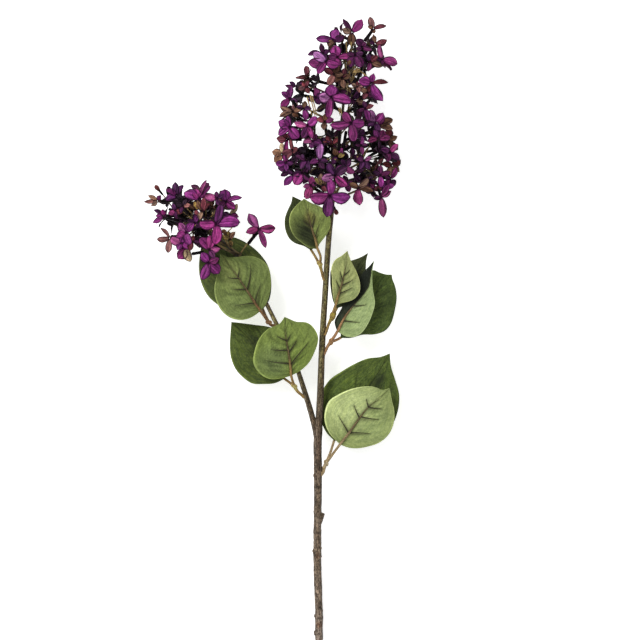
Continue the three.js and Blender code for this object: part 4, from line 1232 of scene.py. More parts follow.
LEAVES = (
    Leaf(
        "leaf_a_front", (-2.5, 71), (-16, 121),
        ((-10, 72), (-18, 77), (-26, 84), (-30.5, 95), (-29.5, 106), (-24, 114)),
        ((-0.5, 76), (5, 83), (9.5, 91), (10.6, 99), (8, 108), (0, 113.5), (-9, 117)),
        ((-4.5, 80), (-7.8, 90), (-12, 106)),
        (46.5, 54, 57), (3, 1.5), 0.8, True,
        ((-4.5, 81, -0.5, 96), (-8, 92, -5, 104), (-8.5, 93, -17, 99)),
        srgb(122, 134, 74),
        (
            # Painted shade over the left half near the foot, where the blade folds along its midrib.
            Patch(-0.35, 0.3, 1.15, 0.95, srgb(34, 40, 22), -1),
            Patch(0.1, 0.62, 0.5, 0.45, BROWN_STAIN),
            Patch(0.6, 0.75, 0.6, 0.3, GREY_GREEN),
        ),
        pleats=1.2,
    ),
    Leaf(
        "leaf_a_back", (-9, 70), (-27.5, 124),
        ((-16, 74), (-25, 77), (-31, 82), (-35, 92), (-35.2, 102), (-32, 111), (-29, 117)),
        ((-3, 75), (2, 83), (4, 93), (1, 104), (-7, 113), (-17, 119)),
        ((-14, 85), (-19, 98), (-24, 112)),
        (41.5, 37, 33), (-2, 2), 0.8, False,
        ((-13, 82, -4, 93), (-17, 93, -9, 104), (-15, 86, -25, 92), (-19, 97, -28, 103)),
        srgb(58, 66, 33),
    ),
    Leaf(
        "leaf_b_front", (15.5, 14.5), (27.3, 69),
        ((13.6, 22), (12.5, 32), (12, 42), (11.4, 52), (15, 60), (22, 64.5)),
        ((20, 16.6), (26, 18), (34, 21), (39.5, 28), (40, 37), (36.5, 48), (31, 59)),
        ((18, 24), (21.5, 35), (24.5, 48)),
        (43, 52, 56), (2, -2), 0.7, True,
        ((20, 25, 32, 32), (23, 34, 33, 40.5), (25, 45, 30, 50), (18.5, 31, 16, 40.5), (21, 39, 20, 48.5)),
        srgb(154, 160, 105),
        (Patch(0.7, 0.35, 0.6, 0.4, PALE_GREEN),),
        pleats=0.6,
    ),
    Leaf(
        "leaf_b_back", (17, 12), (48, 67),
        ((13.5, 18), (11.2, 28), (10.2, 40), (11.5, 51), (20, 57), (31, 59.5), (41, 63)),
        ((25, 14.5), (34, 21), (41, 30), (45, 41), (46, 51), (46.4, 60)),
        ((22, 24), (29, 38), (39, 55)),
        (36.2, 33, 30.5), (-1, 1), 0.8, False,
        ((21, 22, 32, 28), (26, 33, 38, 42), (21, 22, 16, 35), (27, 35, 24, 48)),
        srgb(66, 72, 44),
        # Painted shade over much of the blade, behind the front leaf.
        (Patch(0.5, 0.4, 1.1, 0.75, SHADE_GREEN),),
    ),
    Leaf(
        "leaf_c_front", (17.5, -11.5), (54, 59),
        ((15.2, -5.5), (14.8, -1), (19.5, 8), (27, 21), (36, 35), (42, 46), (49, 53.5)),
        ((25.5, -16.2), (33, -17), (41, -13.5), (48, -4), (53, 8), (55, 17), (53, 30), (52.2, 41),
         (52.4, 51)),
        ((24, 1.5), (32, 12.5), (41, 23), (48, 32), (50.5, 44)),
        (37, 41, 44), (-2.5, 3), 0.5, True,
        ((24, -1, 40, -2), (34, 13, 47, 16), (25, 2, 24, 9)),
        PALE_GREEN,
        (Patch(-0.4, 0.1, 0.6, 0.5, srgb(62, 72, 54), -1),),
        # Painted shade: the steep left half is tinted near-black.
        srgb(24, 30, 20),
        (0.3, 0.5),
        pleats=0.45,
    ),
    Leaf(
        "leaf_c_back", (21, -18), (72, 45.5),
        ((21, -7), (26, 8), (33, 24), (41, 39), (52.5, 50), (60, 47.6), (66, 45.8)),
        ((31, -18), (43, -14.8), (55, -14.4), (65, -11), (71, -4), (75, 9), (77, 23), (75.5, 34),
         (73, 40.5)),
        ((34, -3), (48, 16), (60, 32)),
        (33, 29, 27), (-2, -2.2), 1, False,
        ((31, -7, 46, -6), (41, 7, 58, 10), (52, 21, 66, 27), (31, -7, 32, 10), (42, 8, 44, 26)),
        srgb(73, 90, 42),
        (Patch(0.6, 0.7, 0.6, 0.4, srgb(52, 62, 30)),),
    ),
    Leaf(
        "leaf_d_front", (20, -125), (70, -68.6),
        ((10.5, -115), (5.5, -105), (4.6, -94), (9, -81.5), (20, -74), (31, -69.4), (43, -66.9),
         (54, -67.2), (63, -70.2)),
        ((29, -128.4), (38, -129), (49, -127), (60, -123), (69, -115), (74, -104), (74.8, -93), (72, -80)),
        ((29, -113.5), (40, -98), (48, -88), (59, -79)),
        (22.5, 29, 27), (1.5, -2.5), 0.9, True,
        ((28.5, -113, 19, -96.5), (40, -98, 33.5, -85), (49, -87, 46.5, -80), (31, -114.5, 50, -114.3),
         (43, -99.5, 60, -100), (51, -89, 62, -89)),
        srgb(142, 154, 98),
        (
            Patch(0.5, 0.5, 0.7, 0.3, PALE_GREEN),
            Patch(0.15, 0.62, 0.25, 0.5, DEEP_GREEN),
            Patch(-0.5, 0.5, 1.0, 0.8, srgb(186, 198, 138)),
        ),
        pleats=0.4,
    ),
    Leaf(
        "leaf_d_back", (14, -121), (70.3, -33.8),
        ((7, -114), (2, -104), (0.5, -92), (1.5, -74), (10, -60), (22, -51.6), (34, -44.6), (48, -38.8),
         (60, -37.4)),
        ((27, -124), (42, -122), (58, -117), (71, -108), (78, -93), (79.8, -76), (76, -61), (71.6, -47)),
        ((24, -105), (38, -84), (52, -64)),
        (17.5, 15.5, 12), (-1, -2), 1.1, False,
        ((23, -107, 12, -91), (34, -90, 22, -70), (45, -74, 36, -55), (23, -107, 44, -108),
         (34, -90, 58, -90), (46, -72, 64, -67)),
        srgb(78, 94, 42),
        # The first patch is painted shade.
        (Patch(0.2, 0.72, 0.3, 0.6, SHADE_GREEN), Patch(-0.5, 0.5, 0.5, 0.5, srgb(98, 118, 54))),
    ),
    Leaf(
        "leaf_e_front", (-29, -56), (-35.3, 3),
        ((-40, -58.6), (-51, -59), (-61, -53), (-66.8, -43), (-66, -33), (-61, -19), (-52, -9), (-41, -4)),
        ((-20, -51), (-12, -44), (-6, -33.5), (-1.8, -18), (-6.5, -7.5), (-13, -2.6), (-24, -1.6),
         (-31, 1.2)),
        ((-29.8, -45), (-32, -30), (-34.6, -14)),
        (32, 42, 44), (1.5, 1), 0.6, True,
        ((-29, -46, -11.5, -22.5), (-31, -33, -23.5, -20), (-33, -21, -29, -15), (-30.5, -44, -55, -40),
         (-32, -30, -49, -29), (-34, -20, -44, -16)),
        MID_GREEN,
        (Patch(-0.5, 0.35, 0.7, 0.6, srgb(106, 120, 78)), Patch(0.6, 0.3, 0.6, 0.4, srgb(104, 122, 52))),
        pleats=1.05,
    ),
    Leaf(
        "leaf_e_back", (-36, -59), (-89, -2),
        ((-45, -63.4), (-57, -64.4), (-68, -63.8), (-77, -58), (-85, -49), (-89.6, -37), (-90.6, -25),
         (-89.8, -11)),
        ((-33, -50), (-30, -38), (-31, -24), (-40, -11), (-52, -6.8), (-65, -5), (-78, -3.2)),
        ((-49, -45), (-62, -29), (-75, -15)),
        (27.5, 24, 20), (-2, -1), 1, False,
        ((-47, -47, -66, -48), (-58, -34, -78, -34), (-68, -22, -82, -20), (-47, -47, -44, -28),
         (-58, -34, -56, -16)),
        srgb(76, 90, 40),
        (Patch(0.1, 0.62, 0.35, 0.6, srgb(38, 48, 22)),),
    ),
    Leaf(
        "leaf_f_front", (-59.5, 9), (-99.4, 66.2),
        ((-69, 2.4), (-79, 0), (-90, 2.4), (-99, 10), (-104.5, 22), (-105.5, 33), (-102.5, 47),
         (-100.4, 58)),
        ((-54.6, 15), (-50.4, 27), (-49, 39), (-51.4, 52.4), (-58, 60), (-69, 63.8), (-82, 63.2),
         (-92, 62.8)),
        ((-65, 17), (-74, 31), (-85, 47)),
        (41, 49, 51), (1, -1.5), 0.8, True,
        ((-62.5, 17, -59.5, 36), (-71.5, 30, -69, 57), (-81, 43, -80, 52), (-64, 16, -85, 13.5),
         (-74, 30.5, -87, 29.5), (-82, 42, -92, 43)),
        srgb(106, 119, 66),
        (Patch(-0.6, 0.3, 0.7, 0.5, srgb(116, 130, 78)), Patch(-0.1, 0.75, 0.7, 0.7, srgb(142, 152, 90))),
        pleats=0.8,
    ),
    Leaf(
        "leaf_f_back", (-57, 11), (-118, 82),
        ((-70, 7), (-88, 8), (-103, 15.6), (-112, 23.5), (-118, 34), (-121, 45), (-121.5, 57), (-120, 70)),
        ((-51, 20), (-48.8, 36), (-52, 54), (-60, 66), (-71, 75.6), (-83, 82), (-95, 84.6), (-107, 84.4)),
        ((-70, 25), (-86, 44), (-102, 63)),
        (35, 28, 22), (-2, -2), 1, False,
        ((-66, 21, -90, 19), (-77, 34, -102, 33), (-89, 48, -112, 50), (-66, 21, -60, 44),
         (-77, 34, -71, 60), (-90, 49, -86, 70)),
        srgb(78, 90, 46),
        (Patch(-0.2, 0.75, 0.5, 0.4, srgb(52, 62, 34)),),
    ),
)


@dataclass(frozen=True)
class Stalk:
    """A leaf pair's stalk: the trunk to its fork, then the way to the front and to the back leaf.

    The rows are across, along, height and radius, and the heel is a place inside the stem. `knob` is the
    size of the knob at the fork against the usual.
    """

    letter: str
    heel: tuple[float, float, float]
    trunk: Rows
    front: Rows
    back: Rows
    wood: Colour
    node: Colour
    knob: float = 1.0


STALK_BROWN = srgb(124, 92, 56)
STALK_OLIVE = srgb(154, 126, 74)
STALK_TAN = srgb(168, 126, 86)
STALK_STRAW = srgb(162, 140, 102)

STALKS = (
    Stalk(
        "a", (4.8, 39.8, 41),
        ((2.9, 43.5, 41.5, 1.1), (1.6, 49, 42.6, 1.1), (-0.4, 56.5, 43.8, 1.5)),
        ((-0.3, 55.6, 43.8, 1.2), (0.6, 63, 45.4, 0.95)),
        ((-0.5, 55.6, 43.5, 1.2), (-5, 64, 40.8, 0.95)),
        STALK_OLIVE, srgb(196, 180, 104),
    ),
    Stalk(
        "b", (4.2, -15.2, 35),
        ((6.4, -11.4, 35, 1.1), (8.6, -4.4, 36.6, 1.1), (11.8, 2.4, 38.6, 1.5)),
        ((11.8, 2.4, 38.8, 1.2), (13.2, 8, 41.2, 1)),
        ((12.2, 2.8, 38, 1.2), (14.8, 8, 35.2, 0.95)),
        STALK_OLIVE, srgb(168, 150, 58), 1.5,
    ),
    Stalk(
        "c", (3.2, -35.2, 31.6),
        ((5.2, -31.8, 32, 1.1), (7.6, -26.6, 33, 1.15), (11, -21.8, 34.2, 1.5)),
        ((10.6, -21.6, 34.4, 1.3), (14, -17, 36.6, 1.15)),
        ((11.2, -21.6, 33.3, 1.2), (15.6, -20.4, 30.8, 1)),
        STALK_TAN, srgb(182, 142, 96),
    ),
    Stalk(
        "d", (0.2, -156.4, 19.2),
        ((3.1, -152.6, 19.6, 1.4), (4, -149, 19.8, 1.4), (6.2, -143.6, 20.2, 1.4)),
        ((6.4, -143.4, 20.4, 1.15), (13, -134.6, 21.6, 1)),
        ((6.2, -143.4, 20, 1.15), (10.6, -133, 16, 1)),
        STALK_STRAW, srgb(196, 178, 140),
    ),
    Stalk(
        "e", (-15.6, -77.6, 27),
        ((-18, -75.6, 27.4, 1.1), (-22.6, -71.6, 28.2, 1.15), (-26, -66, 29.2, 1.5)),
        ((-26, -66, 29.6, 1.25), (-27.6, -61, 31, 1)),
        ((-26.2, -66, 29, 1.2), (-31, -62.4, 26.2, 0.95)),
        STALK_OLIVE, srgb(206, 200, 120),
    ),
    Stalk(
        "f", (-43.4, -7.6, 36.2),
        ((-45.8, -5.6, 36.6, 1.1), (-48.6, -5.2, 37, 1.15), (-51.4, -2.2, 37.6, 1.4)),
        ((-51.4, -2.2, 37.8, 1.25), (-55.6, 3.6, 39.6, 1)),
        ((-51.4, -2.2, 37.2, 1.2), (-54.6, 4.4, 33.8, 1)),
        STALK_BROWN, srgb(158, 120, 84),
    ),
)


@dataclass
class LeafPair:
    """A forked stalk with the ribs that it runs on into, and the two blades that they carry."""

    # Rings along and sides round.
    TRUNK_MESH = (14, 10)
    RIB_MESH = (34, 8)
    VEIN_MESH = (8, 6)
    VEIN_STEPS = 5
    HEEL_RADIUS = 2.0
    # Half widths of the knob at the fork and of the buds beside it, and how lumpy they are.
    KNOB = Vector((2.2, 2.2, 3.0))
    BUD = Vector((1.2, 1.2, 2.0))
    LUMPS = 0.3

    stalk: Stalk
    front: Blade
    back: Blade
    stoutness: float = 1.35
    rib_radius: float = 1.35
    vein_radius: float = 0.72
    rib_tint: Colour = srgb(104, 90, 58)
    vein_tint: Colour = srgb(58, 54, 34)
    rib_shares: Sequence[float] = (0.02, 0.1, 0.2, 0.32, 0.44, 0.56, 0.68, 0.78, 0.86)

    @staticmethod
    def rod_through(shape: Shape, stops: Sequence[Stop], mesh: tuple[int, int]) -> None:
        """Adds a rod on the smooth curve through its stops.

        Args:
            shape: The mesh.
            stops: Places along the rod.
            mesh: Its rings along and its sides round.
        """
        steps, sides = mesh
        line = Line([stop.centre for stop in stops])
        fine = []
        for i in range(steps + 1):
            t = line.parameter(i / steps)
            place = t * (len(stops) - 1)
            k = min(int(place), len(stops) - 2)
            a, b, w = stops[k], stops[k + 1], place - k
            tint = mix_colour(a.tint, b.tint, w)
            fine.append(Stop(line.spot(t), mix(a.radius, b.radius, w), tint))
        shape.rod(fine, sides)

    def ribs(self, shape: Shape, blade: Blade, petiole: Rows) -> None:
        """Adds a leaf stalk, the midrib that it runs on into and the side veins.

        Args:
            shape: The mesh.
            blade: The leaf.
            petiole: The rows of the leaf stalk.
        """
        wood = self.stalk.wood
        stops = [Stop(Vector(row[:3]), row[3] * self.stoutness, wood) for row in petiole]
        low, high = blade.leaf.fade
        # Past the fade the midrib takes the blade's colour, the painted shade of the left half where there
        # is one.
        ground = blade.leaf.left_shade_tint or blade.leaf.tint
        for share in self.rib_shares:
            radius = mix(self.rib_radius, 0.3, smooth(0.0, high, share))
            tint = mix_colour(wood, self.rib_tint, smooth(0.0, 0.45, share))
            tint = mix_colour(tint, ground, smooth(low, high, share))
            stops.append(Stop(blade.rest(share, 0.0, radius), radius, tint))
        self.rod_through(shape, stops, self.RIB_MESH)
        for x0, y0, x1, y1 in blade.leaf.veins:
            root, _ = blade.nearest(x0, y0, 0)
            end, across = blade.nearest(x1, y1, 12)
            spine = []
            for i in range(self.VEIN_STEPS + 1):
                t = i / self.VEIN_STEPS
                radius = self.vein_radius * (1 - 0.8 * t)
                place = blade.rest(mix(root, end, t), across * t, radius)
                spine.append(Stop(place, radius, self.vein_tint))
            self.rod_through(shape, spine, self.VEIN_MESH)

    def build(self) -> list[bpy.types.Object]:
        """Builds the stalk with its ribs, and both blades.

        Returns:
            The pieces.
        """
        shape = Shape()
        stalk = self.stalk
        trunk = [Stop(Vector(row[:3]), row[3] * self.stoutness, stalk.wood) for row in stalk.trunk]
        heel = Stop(Vector(stalk.heel), self.HEEL_RADIUS, stalk.wood)
        trunk = [heel, *trunk[:-1], replace(trunk[-1], tint=stalk.node)]
        self.rod_through(shape, trunk, self.TRUNK_MESH)
        fork = trunk[-1].centre
        ahead = (fork - trunk[-2].centre).normalized()
        along = UP.rotation_difference(ahead)
        tints = (stalk.wood, stalk.node)
        knob = fork + ahead * (5.0 * (stalk.knob - 1))
        shape.ball(knob, self.KNOB * stalk.knob, along, tints, self.LUMPS)
        for side in (-1, 1):
            bud = fork + ahead.cross(UP).normalized() * side * 1.7 - ahead * side
            shape.ball(bud, self.BUD, along, tints, self.LUMPS)
        self.ribs(shape, self.front, stalk.front)
        self.ribs(shape, self.back, stalk.back)
        name = f"leaf_stalk_{stalk.letter}"
        piece = shape.publish(f"{name}_coat", [STALK_COAT], "stalk", [name])
        return [piece, self.front.cloth(), self.back.cloth()]


# ---- Flower heads


class Tone(Enum):
    """The dye of a floret: the colour of its face and of its back."""

    PURPLE = (srgb(114, 34, 95), srgb(102, 36, 84))
    VIOLET = (srgb(62, 14, 57), srgb(52, 17, 46))
    WINE = (srgb(120, 40, 90), srgb(122, 54, 78))
    ROSE = (srgb(100, 42, 50), srgb(118, 62, 60))
    PINK = (srgb(124, 82, 78), srgb(124, 84, 72))
    LILAC = (srgb(142, 84, 128), srgb(144, 90, 130))
    OLIVE = (srgb(92, 62, 42), srgb(112, 88, 54))
    BRONZE = (srgb(128, 38, 104), srgb(122, 54, 76))
    NIGHT = (srgb(28, 8, 25), srgb(23, 10, 21))
    MAUVE = (srgb(92, 28, 80), srgb(80, 30, 68))
    HEATHER = (srgb(134, 62, 112), srgb(124, 56, 100))
    TAN = (srgb(122, 92, 72), srgb(126, 100, 70))
    CREAM = (srgb(178, 152, 112), srgb(172, 150, 108))
    STRAW = (srgb(140, 118, 62), srgb(132, 112, 60))

    @property
    def face(self) -> Colour:
        """The colour of the face."""
        return self.value[0]

    @property
    def back(self) -> Colour:
        """The colour of the back."""
        return self.value[1]


# The tables' letters for the dyes, in the same order.
P, V, W, R, K, L, O, B, N, M, H, T, C, Y = Tone


@dataclass(frozen=True)
class Floret:
    """A floret: the place of its throat, the way it faces, its dye and its petals.

    `bearing` and `lean` give the way it faces. The rest is for four petals alike: `turn` is the angle of
    the first, `length` is theirs, `close` is how far they close up, `pale` is the number of a paler one,
    or -1, and `breadth` is their width against the usual.
    """

    x: float
    y: float
    z: float
    bearing: float
    lean: float
    tone: Tone
    turn: float = 0.0
    length: float = 0.0
    close: float = 0.0
    pale: int = -1
    breadth: float = 1.0

    @property
    def throat(self) -> Vector:
        """The place of the throat."""
        return Vector((self.x, self.y, self.z))


@dataclass(frozen=True)
class Petal:
    """A petal: its angle round the floret, its length and breadth, how far it closes up, and its dye."""

    angle: float
    length: float
    breadth: float
    close: float
    tone: Tone


@dataclass(frozen=True)
class HeadPlan:
    """The plan of a flower head.

    `outline` rows are along, middle and half width. `florets`, `flat` and `under` are those of the solid,
    and `more` are small ones that fill it out. At `fill` are the throats of near-black florets, put in the
    head's gaps as painted shade. Rows of `florets` and `more` are a Floret's values. `flat` rows are
    across, along and turn. `under` is how many lie below, the ends of their row and their reach as a share
    of the half width. `buds` rows are the place, bearing and lean of a closed bud. `hubs` are the ends of
    the branchlets, where `whorls` doesn't give the first whorl's place, the step, the whorls, the hubs in
    each, their reach and their rise.
    `threads` are bare flower stalks and `barrels` bare tubes from one point to another. `spread` gives
    the Petals' values of numbered florets that lie open to above. Those of `more` are numbered from 200.
    The dye of the whole head is multiplied by `light`.
    """

    name: str
    rachis: Rows
    outline: Rows
    florets: Sequence[Sequence]
    more: Sequence[Sequence]
    buds: Rows
    flat: Rows
    under: tuple[int, float, float, float]
    hubs: Rows = ()
    whorls: tuple[float, float, int, int, float, float] | None = None
    threads: Rows = ()
    fill: Rows = ()
    barrels: Rows = ()
    spread: dict[int, Sequence[Sequence]] = field(default_factory=dict)
    light: float = 1.0


BIG_HEAD = HeadPlan(
    name="big_head",
    rachis=(
        (11.6, 110.4, 49.1), (14, 130, 50), (18, 168, 51), (22, 202, 51), (27, 250, 50), (32, 272, 50),
    ),
    outline=(
        (110, 28, 34), (130, 28, 43), (150, 18, 59), (190, 14.5, 53), (220, 13.5, 52), (240, 18, 48),
        (255, 28, 40), (275, 31, 33), (290, 43, 22), (300, 39, 14),
    ),
    whorls=(124, 25, 6, 3, 0.42, 9),
    florets=(
        (32, 287, 58, 92, 74, B), (14, 278, 70, 105, 66, B), (22, 277, 62, 96, 78, R, 10, 9, 62),
        (3, 266, 54, 158, 50, V), (6, 256, 88, 165, 16, P), (17.5, 261, 84, 60, 22, P),
        (35, 263, 84, -88, 60, V), (14, 244, 88, 205, 52, O), (-12, 242, 62, 130, 66, R, 0, 12, 40),
        (53, 291, 50, 60, 100, R), (55, 276, 44, 60, 76, R), (62, 260, 60, -20, 42, P),
        (42, 272, 64, 95, 60, V), (50, 257, 70, -25, 56, R), (51, 235, 88, -60, 32, P),
        (-24, 234, 44, 172, 60, V), (-14, 232, 68, 150, 54, R), (-30, 221, 58, 165, 52, P),
        (-27, 208, 60, 200, 50, O), (-16, 210, 70, 130, 56, P), (11, 221, 97, -50, 26, P),
        (-30, 192, 68, 180, 40, P), (-32.5, 181, 56, 182, 60, R), (-38, 166, 46, 188, 70, K),
        (-12, 193, 80, 200, 28, P), (5, 197, 84, 95, 54, O), (37, 232, 82, 60, 58, K),
        (35, 219, 78, 85, 58, V), (31, 195, 99, 190, 14, P), (45, 210, 82, 85, 55, P),
        (55, 196, 76, 60, 55, L), (59, 194, 60, 30, 80, B), (58, 181, 72, -10, 54, W),
        (68, 180, 52, 10, 72, R), (-34, 157, 52, 190, 60, P), (-27, 169, 66, 175, 48, R, 10, 13, 30),
        (-29.5, 151, 50, 205, 66, V), (-27, 145, 58, 215, 52, W), (-17, 146, 70, 230, 46, P),
        (1, 170, 72, 100, 62, V, 80, 14, 30), (-0.5, 158, 92, 95, 20, P),
        (-13, 159, 74, 200, 50, V, 50, 13, 34), (17, 163, 84, -60, 56, V), (15, 143, 94, 250, 20, V),
        (10, 123, 88, -90, 12, P), (-9, 134, 70, 240, 44, W), (3, 134, 78, 160, 52, O),
        (41, 173, 88, 70, 50, V), (70, 167, 52, 12, 74, V), (72, 155, 46, -8, 76, R),
        (44, 158, 80, 0, 52, V), (25, 152, 86, -40, 56, V), (60, 144, 68, -20, 46, P),
        (71, 141, 50, -10, 66, W), (64, 131, 58, -35, 54, P), (61, 122, 62, -72, 48, P),
        (38, 131, 84, -60, 44, B), (36, 183, 86, 20, 60, V, 30, 13, 40),
    ),
    more=(
        (-4, 222, 66, 140, 54, V), (22, 240, 84, 80, 58, O), (12, 174, 72, 90, 58, R, 35, 12, 40),
        (57, 168, 62, 30, 58, V, 25, 13, 34), (53, 130, 62, -50, 46, W), (-7, 178, 76, 160, 52, P),
        (55, 154, 64, -30, 55, R, 60, 12, 34), (26, 136, 66, -20, 50, V),
        (31, 161, 74, 40, 60, V, 10, 13, 40), (33, 147, 76, -30, 60, V, 30, 13, 40),
        (-18, 164, 66, 180, 60, V, 20, 13, 40), (17, 232, 70, -90, 60, V, 20, 13, 40),
        (44, 250, 62, 100, 70, V, 10, 12, 46), (46, 140, 66, -60, 60, V, 10, 13, 40),
        (44, 195, 66, 40, 60, V, 10, 13, 40), (47, 226, 82, 40, 50, R),
    ),
    buds=((27, 250, 76, 70, 40), (14, 113, 74, -70, 40), (-17, 200, 58, 150, 70)),
    flat=((-12, 150, 20), (46, 148, 60), (18, 176, 0), (24, 236, 40)),
    under=(17, 126, 290, 0.74),
    threads=(
        (31, 237, 62, 34, 249, 74), (31, 237, 62, 37, 248, 73), (31, 237, 62, 29, 248, 72),
        (33, 246, 80, 40, 250, 80), (33, 246, 80, 40, 247, 80), (33, 246, 79, 38, 252, 80),
        (-10, 224, 82, -5, 203, 82), (-8, 223, 80, -3, 203, 80), (-13, 222, 78, -8, 204, 78),
        (26, 277, 70, 27, 264, 68), (31, 277, 70, 31, 263, 68), (43, 278, 62, 34, 264, 64),
        (20, 211, 88, 22, 203, 88), (18.5, 211, 88, 20, 203, 88),
    ),
    barrels=(
        (43, 259, 72, 40, 242, 70), (40, 246, 74, 34, 231, 72), (19, 190, 82, 19, 168, 80),
        (26, 188, 80, 23, 170, 78), (35, 215, 88, 35, 202, 88), (12, 216, 90, 17, 209, 88),
        (51, 220, 80, 44, 213, 78), (-31, 180, 66, -18, 180, 66), (5, 161, 86, 6, 145, 84),
        (-24, 231, 60, -18, 225, 62), (-27.5, 219, 68, -23, 212, 66), (-16, 147, 72, -2, 135, 72),
        (-6, 137, 76, 5, 128, 76), (49, 129, 68, 58, 122.5, 66), (52, 289, 52, 44.5, 279, 58),
        (56.5, 275, 48, 50, 268, 54),
    ),
    spread={
        0: ((54, 17, 10.5, 6, P), (124, 16.5, 6, 8, V), (160, 11, 8, 12, T), (262, 13.5, 10, 10, O)),
        1: ((174, 18, 8.5, 6, P), (72, 11.5, 12, 12, P), (18, 11, 8.5, 18, V), (228, 9, 9, 18, O)),
        3: ((183, 15.5, 6, 8, M), (102, 11, 6, 10, V), (20, 8, 6, 16, V), (-60, 8, 6, 16, V)),
        4: ((143, 16, 10.5, 12, L), (181, 17.5, 11.5, 8, P), (236, 15, 9.5, 14, P), (-16, 14, 10, 10, P)),
        5: ((101, 12.5, 13.5, 10, P), (4, 14.5, 7.5, 8, P), (-100, 13, 13, 10, P), (172, 10, 9, 16, M)),
        6: ((246, 13, 11, 10, M), (-62, 13.5, 11, 10, M), (20, 9, 7, 20, V), (165, 9, 6, 20, V)),
        7: ((240, 12, 8.5, 10, K), (150, 12, 7, 12, R), (60, 11, 7.5, 12, O), (0, 10, 6.5, 12, O)),
        9: ((105, 12.5, 7.5, 8, K), (12, 13.5, 5.5, 8, R), (155, 6, 4.5, 16, O), (-75, 5, 5, 16, O)),
        10: ((100, 10, 5.5, 8, T), (20, 13, 8, 8, R), (-35, 6, 5, 16, O), (160, 6, 5, 16, V)),
        11: ((102, 15.5, 6, 8, H), (-18, 16, 10, 6, W), (190, 7, 4, 20, V), (-100, 6, 4, 25, V)),
        12: ((122, 10, 9.5, 12, V), (60, 7, 5.5, 18, V), (-18, 11, 6, 12, M), (205, 7, 5.5, 20, V)),
        13: ((-22, 13, 7.5, 8, O), (40, 10, 7, 14, R), (110, 9, 7.5, 14, V), (255, 10, 6.5, 14, M)),
        14: ((166, 13.5, 12, 12, P), (78, 10.5, 7, 16, P), (2, 16.5, 5.5, 6, R), (-57, 21, 11, 6, P)),
        15: ((176, 11, 4.5, 6, V), (145, 8, 4.5, 10, V), (30, 8, 5, 18, V), (-60, 8, 5, 18, V)),
        16: ((195, 8, 6, 10, K), (60, 7, 5, 16, R), (-60, 8, 6, 14, R), (130, 6, 4.5, 18, R)),
        17: ((140, 11, 6.5, 10, P), (80, 13, 7.5, 10, P), (225, 13, 9, 10, P), (-20, 9, 6, 20, V)),
        18: ((160, 13.5, 6.5, 8, T), (200, 14.5, 6, 6, T), (62, 10.5, 7, 14, K), (24, 13, 7, 10, T)),
        19: ((-80, 12, 7, 8, P), (80, 8, 6, 16, O), (165, 8, 5.5, 18, V), (0, 8, 5.5, 18, V)),
        20: ((176, 12.5, 13.5, 10, L), (95, 13, 14.5, 14, P), (-14, 20.5, 12, 6, P), (261, 21.5, 9, 6, P)),
        21: ((-52, 14.5, 13, 10, P), (152, 13, 11, 12, P), (96, 12, 8, 16, P), (214, 14, 9, 10, P)),
        22: ((176, 11, 8.5, 8, R), (-88, 20.5, 5.5, 5, P), (60, 8, 5.5, 20, R), (120, 7, 5.5, 20, R)),
        23: ((165, 10.5, 9, 8, T), (226, 11, 9, 8, T), (92, 12.5, 5.5, 6, C), (-30, 8, 6, 20, R)),
        24: ((166, 14.5, 7.5, 8, H), (44, 13, 9.5, 10, P), (246, 13.5, 9, 10, M), (290, 14, 7, 10, P)),
        25: ((165, 9, 7, 12, R), (15, 9, 7.5, 12, W), (-100, 9, 7, 14, O), (90, 8, 6, 16, O)),
        26: ((15, 8.5, 6.5, 10, K), (160, 6.5, 5, 14, T), (-70, 7, 5.5, 14, K), (85, 5, 4, 18, R)),
        27: ((92, 11, 11, 12, V), (-24, 10, 7.5, 12, O), (200, 9, 7, 16, V), (-92, 8, 6, 18, V)),
        28: ((184, 21.5, 10.5, 6, P), (122, 14, 9.5, 12, M), (-2, 14, 11, 12, P), (279, 18.5, 11, 8, M)),
        29: ((-76, 13, 7, 8, P), (100, 8, 5.5, 18, V), (200, 8, 5, 18, V), (20, 9, 5.5, 14, R)),
        30: ((112, 14, 9.5, 6, L), (52, 13, 8.5, 12, P), (200, 9, 6.5, 18, V), (-60, 10, 7, 18, V)),
        31: ((24, 15, 8.5, 8, O), (-14, 14, 7.5, 6, T), (72, 13, 8.5, 12, W), (190, 9, 6, 18, V)),
        32: ((55, 10, 9, 10, W), (2, 12, 8, 8, W), (196, 12, 7, 8, W), (118, 10, 8, 14, M)),
        33: ((86, 12.5, 9.5, 8, R), (-46, 14, 8, 10, O), (176, 11, 9, 12, R), (22, 10, 6.5, 14, O)),
        34: ((95, 10.5, 7, 14, P), (185, 10.5, 8, 10, P), (0, 9, 6, 18, V), (-85, 9, 6, 14, M)),
        36: ((174, 13, 6, 6, M), (214, 12, 6.5, 8, V), (60, 8, 5.5, 20, V), (-50, 8, 5.5, 20, V)),
        37: ((229, 14, 8, 6, P), (130, 8, 5.5, 20, V), (20, 8, 5.5, 20, V), (-60, 8, 5.5, 20, M)),
        38: ((230, 14, 12, 6, P), (180, 10, 7.5, 16, V), (50, 9, 7, 22, V), (-42, 12, 8, 14, M)),
        40: ((84, 17.5, 8.5, 6, L), (200, 10.5, 7, 16, M), (-62, 10.5, 7, 16, V), (-10, 9, 6, 20, V)),
        42: ((60, 10, 7, 12, W), (115, 9, 7, 14, O), (10, 8, 6, 14, Y), (235, 10, 7, 14, V)),
        43: ((192, 14, 9.5, 12, L), (-40, 16, 10, 10, P), (38, 16, 9.5, 10, V), (118, 15.5, 9, 12, V)),
        44: ((183, 20.5, 14, 5, P), (-2, 20.5, 13, 5, P), (262, 21.5, 12.5, 5, M), (92, 18.5, 10.5, 8, P)),
        45: ((250, 14.5, 9.5, 6, W), (80, 10, 7.5, 16, W), (190, 8, 6, 18, W), (20, 8, 6, 20, M)),
        46: ((100, 12, 7, 10, T), (142, 11, 6.5, 10, Y), (55, 9, 6, 14, O), (-60, 8, 6, 14, R)),
        47: ((85, 9.5, 5, 8, M), (-85, 10, 5, 8, M), (180, 7, 4, 30, V), (0, 7, 4, 30, V)),
